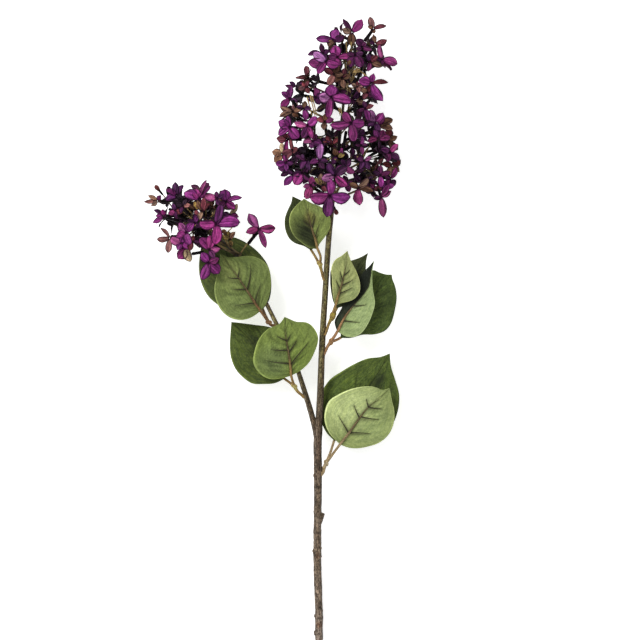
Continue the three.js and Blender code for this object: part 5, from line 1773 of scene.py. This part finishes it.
        48: ((48, 11.5, 7, 8, W), (-38, 12.5, 8, 8, V), (160, 11, 8, 16, V), (250, 10, 8, 14, M)),
        49: ((34, 10.5, 8.5, 10, R), (-40, 10, 8, 10, T), (252, 12.5, 7, 6, T), (165, 10, 7, 14, R)),
        50: ((30, 8.5, 5.5, 12, H), (-60, 10, 7, 14, V), (150, 10, 7, 14, V), (240, 10, 7, 14, V)),
        51: ((200, 11, 8, 10, M), (60, 9, 6.5, 16, V), (-30, 11, 7.5, 12, M), (120, 9, 6.5, 16, V)),
        52: ((88, 11, 7, 10, M), (-86, 12, 7.5, 8, P), (150, 9, 6, 16, V), (20, 11, 6, 12, M)),
        53: ((66, 13, 6.5, 8, P), (226, 13, 7.5, 8, P), (150, 8, 6, 18, V), (-60, 8, 6, 18, V)),
        54: ((20, 11, 6.5, 8, P), (170, 9, 6, 16, V), (-80, 8, 6, 16, V), (95, 9, 6, 14, M)),
        55: ((-84, 20, 9, 6, H), (60, 16, 7, 6, P), (34, 12, 6, 8, H), (185, 8, 5.5, 18, V)),
        56: ((-84, 17, 11, 5, W), (150, 11, 7, 14, O), (44, 14, 7, 8, T), (-12, 15.5, 7, 8, O)),
        200: ((92, 10, 8.5, 10, P), (200, 9, 7, 16, V), (-60, 9, 7, 16, V), (20, 8, 6, 16, V)),
        201: ((75, 11, 7.5, 8, R), (-80, 11, 6.5, 8, T), (20, 9, 6.5, 12, O), (200, 9, 7, 14, O)),
        204: ((104, 10, 8, 10, W), (10, 9, 6, 14, R), (200, 8, 6, 14, M), (-90, 8, 6, 16, V)),
        205: ((185, 10, 7, 8, H), (-20, 10, 8.5, 10, M), (60, 8, 6, 14, M), (-100, 8, 6, 16, V)),
        207: ((20, 9.5, 8, 10, M), (200, 9, 6.5, 12, M), (110, 9, 6, 14, V), (-70, 9, 7, 12, M)),
        215: ((60, 8.5, 7.5, 12, R), (150, 8.5, 6.5, 12, O), (240, 8, 6.5, 12, R), (-30, 8, 6, 12, V)),
    },
    # Throats of near-black florets, painted shade in the head's gaps.
    fill=(
        (19, 244, 66), (-1, 238, 62), (-16, 224, 58), (37, 212, 68), (47, 222, 64), (15, 212, 68),
        (-24, 201, 48), (-17, 184, 60), (-8, 156, 62), (19, 158, 68), (20, 147, 70), (31, 173, 70),
        (48, 187, 62), (49, 175, 60), (36, 141, 66), (4, 149, 66), (66, 163, 44), (-26, 154, 46),
        (44, 262, 52), (26, 268, 54), (-11, 169, 66), (-2, 164, 62), (9, 168, 66), (57, 170, 52),
        (62, 175, 48), (13, 182, 58),
    ),
)

SMALL_HEAD = HeadPlan(
    name="small_head",
    light=1.14,
    rachis=((-79.4, 59.9, 42), (-90, 72, 43), (-103, 82, 44), (-118, 91, 45), (-133, 98, 45)),
    outline=(
        (60, -120, 24), (80, -128, 34), (95, -124, 42), (115, -124, 42), (132, -124, 28), (140, -122, 16),
    ),
    hubs=(
        (-80, 66, 44), (-97, 84, 47), (-108, 79, 52), (-112, 94, 36), (-117, 98, 52), (-127, 88, 50),
        (-130, 103, 44), (-138, 98, 40),
    ),
    florets=(
        (-162, 119, 50, 178, 78, K), (-143, 124, 54, 120, 60, V), (-120, 120, 80, 120, 58, P),
        (-156, 104, 54, 180, 70, P), (-144, 109, 72, 150, 50, R), (-136, 113, 78, 120, 50, R),
        (-150, 82, 48, 185, 82, K), (-138, 76.5, 58, 200, 50, L), (-134, 72.5, 50, 235, 60, P),
        (-133, 87, 74, 220, 48, P), (-127, 78, 66, 230, 50, R), (-103, 95, 88, 20, 10, P),
        (-110, 70, 76, 250, 24, P), (-111, 57, 66, -92, 40, P), (-117, 108, 84, 80, 56, R),
        (-102.5, 121, 66, 84, 54, P), (-94, 118, 62, 60, 52, V), (-90, 105, 56, 10, 54, V),
        (-61, 91, 58, 48, 42, W), (-146, 98, 34, 195, 96, V, 10, 11, 40),
    ),
    more=(
        (-137, 100, 52, 200, 50, V, 20, 9, 30), (-125, 96, 70, 120, 48, V),
        (-108, 112, 62, 60, 56, O, 5, 12, 36), (-122, 84, 64, -90, 60, V, 20, 12, 40),
        (-131, 118, 60, 110, 60, V, 20, 9, 44), (-124, 110, 76, 100, 40, O), (-90, 80, 68, 100, 30, Y),
    ),
    buds=((-90, 81, 58, 128, 64), (-157, 125, 46, 130, 80)),
    flat=((-134, 106, 30), (-108, 108, 70)),
    under=(5, 98, 132, 0.72),
    threads=(
        (-97, 84, 47, -88, 92, 56), (-135, 111, 62, -128, 103, 60), (-137, 109, 60, -129, 101, 58),
        (-133, 112, 62, -127, 105, 60),
    ),
    barrels=(
        (-141, 104, 64, -129, 98, 62), (-139, 120, 68, -128, 112, 66), (-149, 83, 50, -138, 84.5, 52),
        (-128, 66, 58, -116, 68, 60), (-156, 103, 54, -141, 99, 56), (-124, 90, 64, -112, 84, 64),
        (-121, 86, 64, -108, 80, 62), (-147, 117, 66, -129, 105, 64), (-141, 122, 68, -124, 110, 66),
        (-151, 111, 60, -134, 103, 60), (-62, 88, 52, -72, 76, 49),
    ),
    # Throats of near-black florets, painted shade in the head's gaps.
    fill=(
        (-122, 90, 56), (-114, 84, 58), (-110, 76, 54), (-118, 104, 62), (-138, 117, 58), (-131, 111, 58),
    ),
    spread={
        0: ((152, 11.5, 5, 8, T), (184, 14, 4.8, 6, K), (215, 8.5, 5, 12, T), (60, 7, 5.5, 24, M)),
        1: ((98, 14, 7.5, 8, V), (58, 12.5, 6, 10, V), (150, 13, 6.5, 10, M), (200, 12, 8, 10, M)),
        2: ((157, 17, 12, 10, P), (112, 11, 10, 16, P), (70, 20.5, 4.5, 6, H), (50, 17.5, 4, 6, M)),
        3: ((148, 11.5, 5, 8, V), (95, 7, 6.5, 24, P), (211, 13, 6, 6, P), (180, 8, 7, 16, P)),
        4: ((110, 8, 5.5, 14, V), (205, 8, 6.5, 14, W), (-15, 8, 6.5, 12, R), (-80, 7, 5, 14, V)),
        5: ((60, 8, 5, 14, N), (8, 7.5, 6, 10, K), (250, 8, 5.5, 14, V), (150, 8, 5.5, 14, N)),
        6: ((133, 14, 4.5, 5, K), (186, 13.5, 6.5, 5, K), (262, 15, 7.5, 5, K), (40, 5, 3.5, 30, O)),
        7: ((156, 12.5, 9.5, 8, H), (-20, 12, 8, 12, P), (80, 8, 7, 18, P), (235, 8, 7, 18, P)),
        8: ((232, 14, 12, 6, P), (-74, 14.5, 9.5, 6, C), (30, 9, 7, 20, R), (140, 9, 7, 20, P)),
        9: ((124, 12, 10, 10, H), (50, 13, 9, 12, P), (-72, 13, 9.5, 10, M), (205, 11, 8.5, 14, P)),
        10: ((80, 7, 6, 16, R), (-106, 10, 7, 12, R), (0, 8, 6, 18, V), (180, 8, 6, 18, V)),
        11: ((178, 17.5, 11, 6, P), (4, 24, 13.5, 5, P), (76, 20.5, 10, 8, M), (-95, 20.5, 12, 6, P)),
        12: ((128, 15.5, 11, 8, P), (88, 15.5, 10.5, 10, P), (8, 11.5, 7.5, 12, H), (-60, 10, 7, 18, V)),
        13: ((247, 18.5, 11.5, 6, P), (-44, 15, 13, 8, M), (122, 13, 10.5, 12, P), (26, 12, 9, 14, M)),
        14: ((84, 14, 6.5, 8, R), (114, 12, 6, 10, O), (44, 11, 5.5, 12, R), (255, 9.5, 6.5, 12, T)),
        15: ((167, 14, 9.5, 5, H), (30, 8, 5, 16, V), (-80, 8, 5.5, 18, V), (95, 7, 5, 20, V)),
        16: ((98, 12.5, 13, 10, P), (14, 17, 6, 6, P), (-38, 12, 9, 10, P), (215, 11, 9, 14, V)),
        17: ((57, 13.5, 5.5, 6, C), (172, 9, 7, 16, V), (-12, 9, 7, 14, M), (-95, 9, 6.5, 16, V)),
        18: ((124, 18.5, 10.5, 6, H), (2, 16.5, 10.5, 8, W), (-71, 20.5, 7, 6, W), (197, 14, 8.5, 8, W)),
        201: ((75, 13, 8, 8, M), (222, 12, 9, 8, H), (150, 8, 6, 16, V), (-30, 8, 6, 16, V)),
        205: ((95, 8, 5.5, 12, Y), (150, 8, 5, 12, O), (40, 7, 5, 12, Y), (-70, 6, 5, 14, R)),
        206: ((100, 9, 5.5, 10, Y), (55, 9.5, 5.5, 10, T), (145, 9, 5.5, 10, Y), (-65, 7, 5, 12, Y)),
    },
)


@dataclass
class FlowerHead:
    """A flower head: rachis and branchlets, flower stalks, tubes, petals and buds."""

    # Rings along and sides round, or sides alone.
    RACHIS_MESH = (30, 10)
    BRANCHLET_MESH = (6, 8)
    STALK_MESH = (6, 5)
    THREAD_MESH = (3, 5)
    TUBE_SIDES = 6
    BUD_SIDES = 8
    # A bare tube's radii by share of its length.
    BARREL = ((0.0, 1.2), (0.08, 1.7), (0.35, 1.55), (0.7, 1.6), (0.93, 1.75), (1.0, 1.1))
    # The most that a floret with petals given one by one leans, so that they lie as in the plan.
    OPEN_LEAN = 10.0
    # Painted shade on florets low in the head: the share of their colour left deep down, and the heights
    # where the painted shade starts to lift and where it is gone.
    DEEPEST_SHADE = 0.34
    DARK_HEIGHT = 40.0
    FULL_HEIGHT = 80.0
    # The half width of a petal's cloth against its given breadth.
    HALF = 0.475
    # Where on the left and right of the underside the last florets sit, in degrees from straight down.
    SWING = 95.0
    # The numbers that the variation of the extra florets and of the buds' stalks is drawn from.
    FIRST_EXTRA = 200
    FIRST_BUD = 300

    plan: HeadPlan
    # The least distance between throats, the rounds that move them apart and the highest throat.
    spacing: float = 17.0
    rounds: int = 30
    ceiling: float = 100.0
    tube_length: float = 13.0
    thickness: float = 0.4
    # How far behind a tube its hub is looked for.
    reach_back: float = 8.0
    # The lowest that a petal lies, and the height of those pressed flat.
    low: float = 0.3
    pressed: float = 0.35
    straw: Colour = srgb(172, 144, 92)
    olive_wood: Colour = srgb(104, 88, 48)
    dark_wood: Colour = srgb(44, 34, 24)
    tube_dark: Colour = srgb(14, 6, 11)
    calyx: Colour = srgb(60, 50, 32)
    # Rows of a petal: the place along it, and its breadth there where it is pointed and where it is blunt.
    petal_outline: Sequence[tuple[float, float, float]] = (
        (0.0, 0.44, 0.4), (0.16, 0.74, 0.64), (0.36, 0.97, 0.88), (0.56, 0.97, 1.0), (0.75, 0.74, 0.92),
        (0.9, 0.36, 0.58), (1.0, 0.02, 0.04),
    )

    def hubs(self) -> list[Vector]:
        """The ends of the branchlets, given one by one or in whorls up the rachis.

        Returns:
            The ends.
        """
        if self.plan.whorls is None:
            return [Vector(hub) for hub in self.plan.hubs]
        first, step, count, each, reach, rise = self.plan.whorls
        made = []
        for i in range(count * each):
            whorl = i // each
            y = first + step * whorl
            angle = math.radians(i * (360 / each) + whorl * GOLDEN_ANGLE)
            out = reach * read(self.plan.outline, y, 2)
            x = read(self.plan.outline, y) + out * math.cos(angle)
            made.append(Vector((x, y + rise, read(self.plan.rachis, y, 2, 1) + out * math.sin(angle))))
        return made

    def florets(self) -> list[Floret]:
        """Lays out the florets of the face, those pressed flat below and those of the underside.

        Returns:
            The florets, moved apart.
        """
        plan = self.plan
        made = [Floret(*row) for row in plan.florets]
        made += [Floret(x, y, self.pressed, 0, 180, P, turn, 15, 0) for x, y, turn in plan.flat]
        count, first, last, reach = plan.under
        for i in range(count):
            y = mix(first, last, (i + 0.5) / count)
            turns = i * GOLDEN_ANGLE / 360
            swing = self.SWING * (2 * (turns - math.floor(turns)) - 1)
            out = reach * read(plan.outline, y, 2)
            x = read(plan.outline, y) + out * math.sin(math.radians(swing))
            z = read(plan.rachis, y, 2, 1) - out * math.cos(math.radians(swing))
            bearing, lean = 90 - 60 * ((swing > 0) - (swing < 0)), 165 - 0.75 * abs(swing)
            turn, length, close = 90 * draw(i, 20), 14 + 1.5 * draw(i, 21), 26 + 8 * draw(i, 22)
            made.append(Floret(x, y, z, bearing, lean, (V, P, R)[i % 3], turn, length, close))
        return self.settle(made)

    def settle(self, florets: list[Floret]) -> list[Floret]:
        """Moves throats that are too near each other apart, up and down only.

        Args:
            florets: The florets.

        Returns:
            The florets at their settled heights.
        """
        heights = [one.z for one in florets]
        for _ in range(self.rounds):
            for i, a in enumerate(florets):
                for j in range(i + 1, len(florets)):
                    b = florets[j]
                    near = self.spacing - math.hypot(a.x - b.x, a.y - b.y, heights[i] - heights[j])
                    if near <= 0:
                        continue
                    push = (0.25 if heights[i] > heights[j] else -0.25) * near
                    heights[i] = min(self.ceiling, heights[i] + push)
                    heights[j] = min(self.ceiling, heights[j] - push)
        return [replace(one, z=height) for one, height in zip(florets, heights)]

    def shapes(self, floret: Floret, number: int) -> list[Petal]:
        """The petals of a floret: those of the plan, or four alike with small draws.

        Args:
            floret: The floret.
            number: The number that its variation is drawn from.

        Returns:
            Its petals.
        """
        given = self.plan.spread.get(number)
        if given:
            return [Petal(*row) for row in given]
        made = []
        for k in range(4):
            length = floret.length * (1 + 0.12 * draw(number, k + 4))
            angle = floret.turn + 90 * k + 10 * draw(number, k)
            tone = L if k == floret.pale else floret.tone
            shut = floret.close + 12 * draw(number, k + 8)
            made.append(Petal(angle, length, 0.6 * length * floret.breadth, shut, tone))
        return made

    def petals(self, shape: Shape, floret: Floret, number: int) -> None:
        """Adds the petals of a floret.

        Args:
            shape: The mesh of the petals.
            floret: The floret.
            number: The number that its variation is drawn from.
        """
        open_up = number in self.plan.spread
        out = way(floret.bearing, min(floret.lean, self.OPEN_LEAN) if open_up else floret.lean)
        flipped = Quaternion((0.0, 1.0, 0.0), math.pi)
        turned = flipped if out.z < -0.9999 else UP.rotation_difference(out)
        last = len(self.petal_outline) - 1
        for k, petal in enumerate(self.shapes(floret, number)):
            away = turned @ way(petal.angle, 90)
            side = turned @ way(petal.angle - 90, 90)
            spine = self.spine(floret, away, out, petal, number * 4 + k)
            # Florets open to above take no painted shade; the rest take painted shade from their height.
            height = self.FULL_HEIGHT if open_up else floret.z
            face, back = self.dye(petal.tone, height, k, number)
            phase = draw(number, k + 16)
            reach = petal.length
            taper = 1.12 + 0.35 * draw(number, k + 36)
            blunt = smooth(8, 17, reach) * (0.75 + 0.25 * draw(number, k + 51))
            sway = 0.09 * reach * draw(number, k + 41)
            hollow = 0.09 + 0.07 * draw(number, k + 46)

            def form(across: float, along: float) -> tuple[Vector, Colour, Colour]:
                """This petal at a point of its grid.

                Args:
                    across: The place across, from -1 to 1.
                    along: The place along, from 0 to 1.

                Returns:
                    The point, and the colours of its face and of its back.
                """
                row = round(along * last)
                share, pointed, rounded = self.petal_outline[row]
                centre, normal = spine[row]
                half = mix(pointed, rounded, blunt) ** taper * petal.breadth * self.HALF
                cup = hollow * reach * across * across * math.sin(math.pi * min(1.0, share * 1.15))
                crease = 0.03 * reach * (1 - abs(across)) * (0.4 - share)
                ripple = 0.045 * reach * across * math.sin(2 * math.pi * (1.1 * share + phase))
                bow = sway * math.sin(math.pi * share)
                place = centre + side * (half * across + bow) + normal * (cup + crease + ripple)
                place.z = max(place.z, self.low)
                return place, face, back

            shape.sheet(4, last, form, number * 4 + k)

    def spine(self, floret: Floret, away: Vector, out: Vector, petal: Petal,
              seed: int) -> list[tuple[Vector, Vector]]:
        """The middle line of a petal, bent outwards towards its tip.

        Args:
            floret: The floret.
            away: The way from the throat to the petal's tip, laid flat.
            out: The way that the floret faces.
            petal: The petal.
            seed: The number that its variation is drawn from.

        Returns:
            A point and the normal there, row by row.
        """
        bend = 26 + 16 * draw(seed, 31)
        place = floret.throat + away * 0.8 + out * (0.2 * (seed % 2))
        rows = []
        before = 0.0
        length = petal.length - 0.6
        for share, _, _ in self.petal_outline:
            slope = math.radians(petal.close + bend * (0.42 - (share + before) / 2))
            run = away * math.cos(slope) + out * math.sin(slope)
            place = place + run * ((share - before) * length)
            rows.append((place.copy(), out * math.cos(slope) - away * math.sin(slope)))
            before = share
        return rows

    def dye(self, tone: Tone, height: float, petal: int, number: int) -> tuple[Colour, Colour]:
        """The colours of one petal, with painted shade that darkens it low down, and its own small
        variation.

        Args:
            tone: Its dye.
            height: The height that its painted shade is read at.
            petal: The petal's number in the floret.
            number: The floret's number.

        Returns:
            The colours of its face and of its back.
        """
        lit = smooth(self.DARK_HEIGHT, self.FULL_HEIGHT, height)
        # Painted shade by height, times a small variation of the dye and the head's light.
        deep = mix(self.DEEPEST_SHADE, 1.0, lit) * (1 + 0.24 * draw(number, petal + 24)) * self.plan.light
        warm = 1 + 0.12 * draw(number, petal + 28)
        made = []
        for red, green, blue, _ in (tone.face, tone.back):
            made.append((red * deep * warm, green * deep, blue * deep / warm, 1.0))
        return made[0], made[1]

    def shade_floret(self, x: float, y: float, z: float) -> Floret:
        """A near-black floret that faces away from the rachis, painted shade in a gap of the head."""
        bearing = math.degrees(math.atan2(6.0, x - read(self.plan.rachis, y, 0, 1)))
        return Floret(x, y, z, bearing, 60, N, 60 * draw(int(x * y), 70), 13, 38)

    def tube(self, shape: Shape, floret: Floret) -> None:
        """Adds the dark tube behind a floret, open at the throat, and its calyx.

        Args:
            shape: The mesh of the tubes.
            floret: The floret.
        """
        out = way(floret.bearing, floret.lean)
        lip = mix_colour(floret.tone.face, self.tube_dark, 0.75)
        rings = (
            (-1.6, 0.35, self.tube_dark), (0.1, 1.5, lip), (-0.9, 1.8, lip), (-3.2, 1.7, self.tube_dark),
            (-10.2, 1.5, self.tube_dark), (-10.8, 1.6, self.calyx), (-13.6, 0.9, self.calyx),
        )
        stops = [Stop(floret.throat + out * along, radius, tint) for along, radius, tint in rings]
        shape.rod([self.lifted(stop) for stop in stops], self.TUBE_SIDES)

    def barrel(self, shape: Shape, start: Vector, end: Vector) -> None:
        """Adds a bare tube from one point to another, a little waisted."""
        stops = [Stop(start.lerp(end, share), radius, self.tube_dark) for share, radius in self.BARREL]
        shape.rod(stops, self.TUBE_SIDES)

    @staticmethod
    def lifted(stop: Stop) -> Stop:
        """The stop, raised where it would sink below the surface that the spray lies on."""
        low = max(stop.centre.z, stop.radius + 0.1)
        return replace(stop, centre=Vector((stop.centre.x, stop.centre.y, low)))

    def wood_tint(self, number: int) -> Colour:
        """The colour of a flower stalk: straw, olive or dark."""
        pick = draw(number, 40)
        return self.straw if pick > 0.4 else self.olive_wood if pick > -0.2 else self.dark_wood

    def flower_stalk(self, shape: Shape, start: Vector, out: Vector, hub: Vector, number: int) -> None:
        """Adds the thin bent stalk from a tube's end to its hub.

        Args:
            shape: The mesh of the wood.
            start: The tube's end.
            out: The way that the tube faces.
            hub: The end of the branchlet.
            number: The number that its variation is drawn from.
        """
        elbow = start - out * (0.3 * (start - hub).length)
        tint = self.wood_tint(number)
        steps, sides = self.STALK_MESH
        stops = []
        for i in range(steps + 1):
            t = i / steps
            centre = start * (1 - t) ** 2 + elbow * (2 * t * (1 - t)) + hub * t ** 2
            stops.append(Stop(centre, mix(0.62, 0.8, t), mix_colour(tint, self.olive_wood, 0.4 * t)))
        shape.rod([self.lifted(stop) for stop in stops], sides)

    def bud(self, shape: Shape, row: Sequence[float], number: int) -> Vector:
        """Adds a closed bud.

        Args:
            shape: The mesh of the buds.
            row: The place, bearing and lean of the bud.
            number: The number that its variation is drawn from.

        Returns:
            The foot of the bud.
        """
        foot, out = Vector(row[:3]), way(row[3], row[4])
        dye = mix_colour(O.back, R.face, 0.5 + 0.5 * draw(number, 50))
        rings = ((0, 0.6), (1.2, 1.0), (3.5, 1.15), (6, 1.25), (8, 2.1), (10, 2.45), (11.8, 1.9), (13, 0.4))
        stops = []
        for along, radius in rings:
            tint = mix_colour(self.tube_dark, dye, smooth(5, 9, along))
            stops.append(Stop(foot + out * along, radius, tint))
        shape.rod(stops, self.BUD_SIDES)
        return foot

    def build(self) -> list[bpy.types.Object]:
        """Builds the head as wood, tubes, petals and buds.

        Returns:
            The pieces.
        """
        plan = self.plan
        wood, tubes, petals, buds = Shape(), Shape(), Shape(), Shape()
        hubs = self.hubs()
        self.frame_wood(wood, hubs)
        # The near-black florets at the fill places are painted shade.
        extra = [Floret(*row) for row in plan.more] + [self.shade_floret(*row) for row in plan.fill]
        for seed, floret in [*enumerate(self.florets()), *enumerate(extra, self.FIRST_EXTRA)]:
            out = way(floret.bearing, floret.lean)
            behind = floret.throat - out * (self.tube_length + self.reach_back)
            hub = min(hubs, key=lambda spot: (spot - behind).length)
            self.petals(petals, floret, seed)
            self.tube(tubes, floret)
            self.flower_stalk(wood, floret.throat - out * self.tube_length, out, hub, seed)
        for number, row in enumerate(plan.buds):
            foot = self.bud(buds, row, number)
            hub = min(hubs, key=lambda spot: (spot - Vector(row[:3])).length)
            self.flower_stalk(wood, foot, way(row[3], row[4]), hub, number + self.FIRST_BUD)
        steps, sides = self.THREAD_MESH
        for row in plan.threads:
            start, end = Vector(row[:3]), Vector(row[3:])
            shares = [i / steps for i in range(steps + 1)]
            wood.rod([Stop(start.lerp(end, t), mix(0.75, 0.51, t), self.straw) for t in shares], sides)
        for row in plan.barrels:
            self.barrel(tubes, Vector(row[:3]), Vector(row[3:]))
        name, cloth = plan.name, [PETAL_FACE, PETAL_BACK, PETAL_RIM]
        return [
            wood.publish(f"{name}_twigs", [STALK_COAT], "stalk", [name]),
            tubes.publish(f"{name}_tubes", [TUBE_COAT], "petal", [name]),
            petals.publish(f"{name}_petals", cloth, "petal", [name], self.thickness),
            buds.publish(f"{name}_buds", [TUBE_COAT], "petal", [name]),
        ]

    def frame_wood(self, shape: Shape, hubs: Sequence[Vector]) -> None:
        """Adds the rachis and the branchlet to each hub.

        Args:
            shape: The mesh of the wood.
            hubs: The ends of the branchlets.
        """
        rows = self.plan.rachis
        line = Line([Vector(row) for row in rows])
        steps, sides = self.RACHIS_MESH
        trunk = []
        for i in range(steps + 1):
            share = i / steps
            tint = mix_colour(self.dark_wood, self.olive_wood, 0.5 * share)
            trunk.append(Stop(line.at(share), mix(1.9, 1.2, share), tint))
        shape.rod(trunk, sides)
        steps, sides = self.BRANCHLET_MESH
        for number, hub in enumerate(hubs):
            y = max(rows[0][1] + 2, hub.y - 14)
            root = on_axis(rows, y)
            tint = mix_colour(self.olive_wood, self.dark_wood, 0.6 + 0.4 * draw(number, 60))
            stops = []
            for i in range(steps + 1):
                share = i / steps
                faded = mix_colour(tint, self.straw, 0.1 * i)
                stops.append(Stop(root.lerp(hub, share), mix(1.35, 1.0, share), faded))
            shape.rod(stops, sides)
            shape.ball(hub, Vector((1.6, 1.6, 1.6)), Quaternion(), (self.dark_wood, self.olive_wood), 0.3)


# ---- Setting


@dataclass
class Setting:
    """The pale surface, the soft light and the camera straight above, in metres.

    The lens and the sensor are in millimetres, and the lamp's power is in watts.
    """

    floor_size: float = 8.0
    floor_drop: float = 0.0002
    lens: float = 300.0
    sensor: float = 36.0
    far_clip: float = 50.0
    view_width: float = 0.64
    view_height: float = 0.05
    sky: float = 0.69
    lamp_power: float = 34.0
    lamp_size: float = 0.9
    lamp_place: tuple[float, float, float] = (-0.9, 1.0, 1.9)

    def build(self) -> None:
        """Builds the floor, the lights and the camera."""
        self.floor()
        self.lights()
        self.camera()

    def floor(self) -> None:
        """Lays the pale surface just below the spray."""
        bm = bmesh.new()
        bmesh.ops.create_grid(bm, x_segments=1, y_segments=1, size=self.floor_size / 2)
        bmesh.ops.translate(bm, vec=(0.0, 0.0, -self.floor_drop), verts=bm.verts)
        mesh = bpy.data.meshes.new("pale_floor")
        bm.to_mesh(mesh)
        bm.free()
        mesh.materials.append(FLOOR.material())
        floor = bpy.data.objects.new("pale_floor", mesh)
        bpy.context.scene.collection.objects.link(floor)

    def lights(self) -> None:
        """Hangs one broad lamp up and to the left, in an even pale sky."""
        world = bpy.data.worlds.new("even_sky")
        world.use_nodes = True
        sky = world.node_tree.nodes["Background"]
        sky.inputs["Color"].default_value = (1.0, 1.0, 1.0, 1.0)
        sky.inputs["Strength"].default_value = self.sky
        bpy.context.scene.world = world
        lamp = bpy.data.lights.new("broad_lamp", "AREA")
        lamp.shape = "SQUARE"
        lamp.size = self.lamp_size
        lamp.energy = self.lamp_power
        hung = bpy.data.objects.new("broad_lamp", lamp)
        hung.location = self.lamp_place
        hung.rotation_euler = (-hung.location).to_track_quat("-Z", "Y").to_euler()
        bpy.context.scene.collection.objects.link(hung)

    def camera(self) -> None:
        """Hangs the camera over the working point, with the stem running up the picture."""
        data = bpy.data.cameras.new("overhead")
        data.lens = self.lens
        data.sensor_width = self.sensor
        data.clip_end = self.far_clip
        eye = bpy.data.objects.new("overhead", data)
        spot = TO_PART.translation
        distance = self.view_width * self.lens / self.sensor
        eye.location = (spot.x, spot.y, distance + self.view_height)
        bpy.context.scene.collection.objects.link(eye)
        bpy.context.scene.camera = eye
        bpy.context.scene.view_settings.view_transform = "Standard"


def main() -> None:
    """Builds every piece in order, then the setting."""
    logging.basicConfig(level=logging.INFO, format="%(message)s")
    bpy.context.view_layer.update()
    Effects.build()
    Stem().build()
    blades = {leaf.name: Blade(leaf, i) for i, leaf in enumerate(LEAVES)}
    for stalk in STALKS:
        front, back = (blades[f"leaf_{stalk.letter}_{side}"] for side in ("front", "back"))
        LeafPair(stalk, front, back).build()
    for plan in (BIG_HEAD, SMALL_HEAD):
        FlowerHead(plan).build()
    Setting().build()
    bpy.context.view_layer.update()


if __name__ == "__main__":
    main()
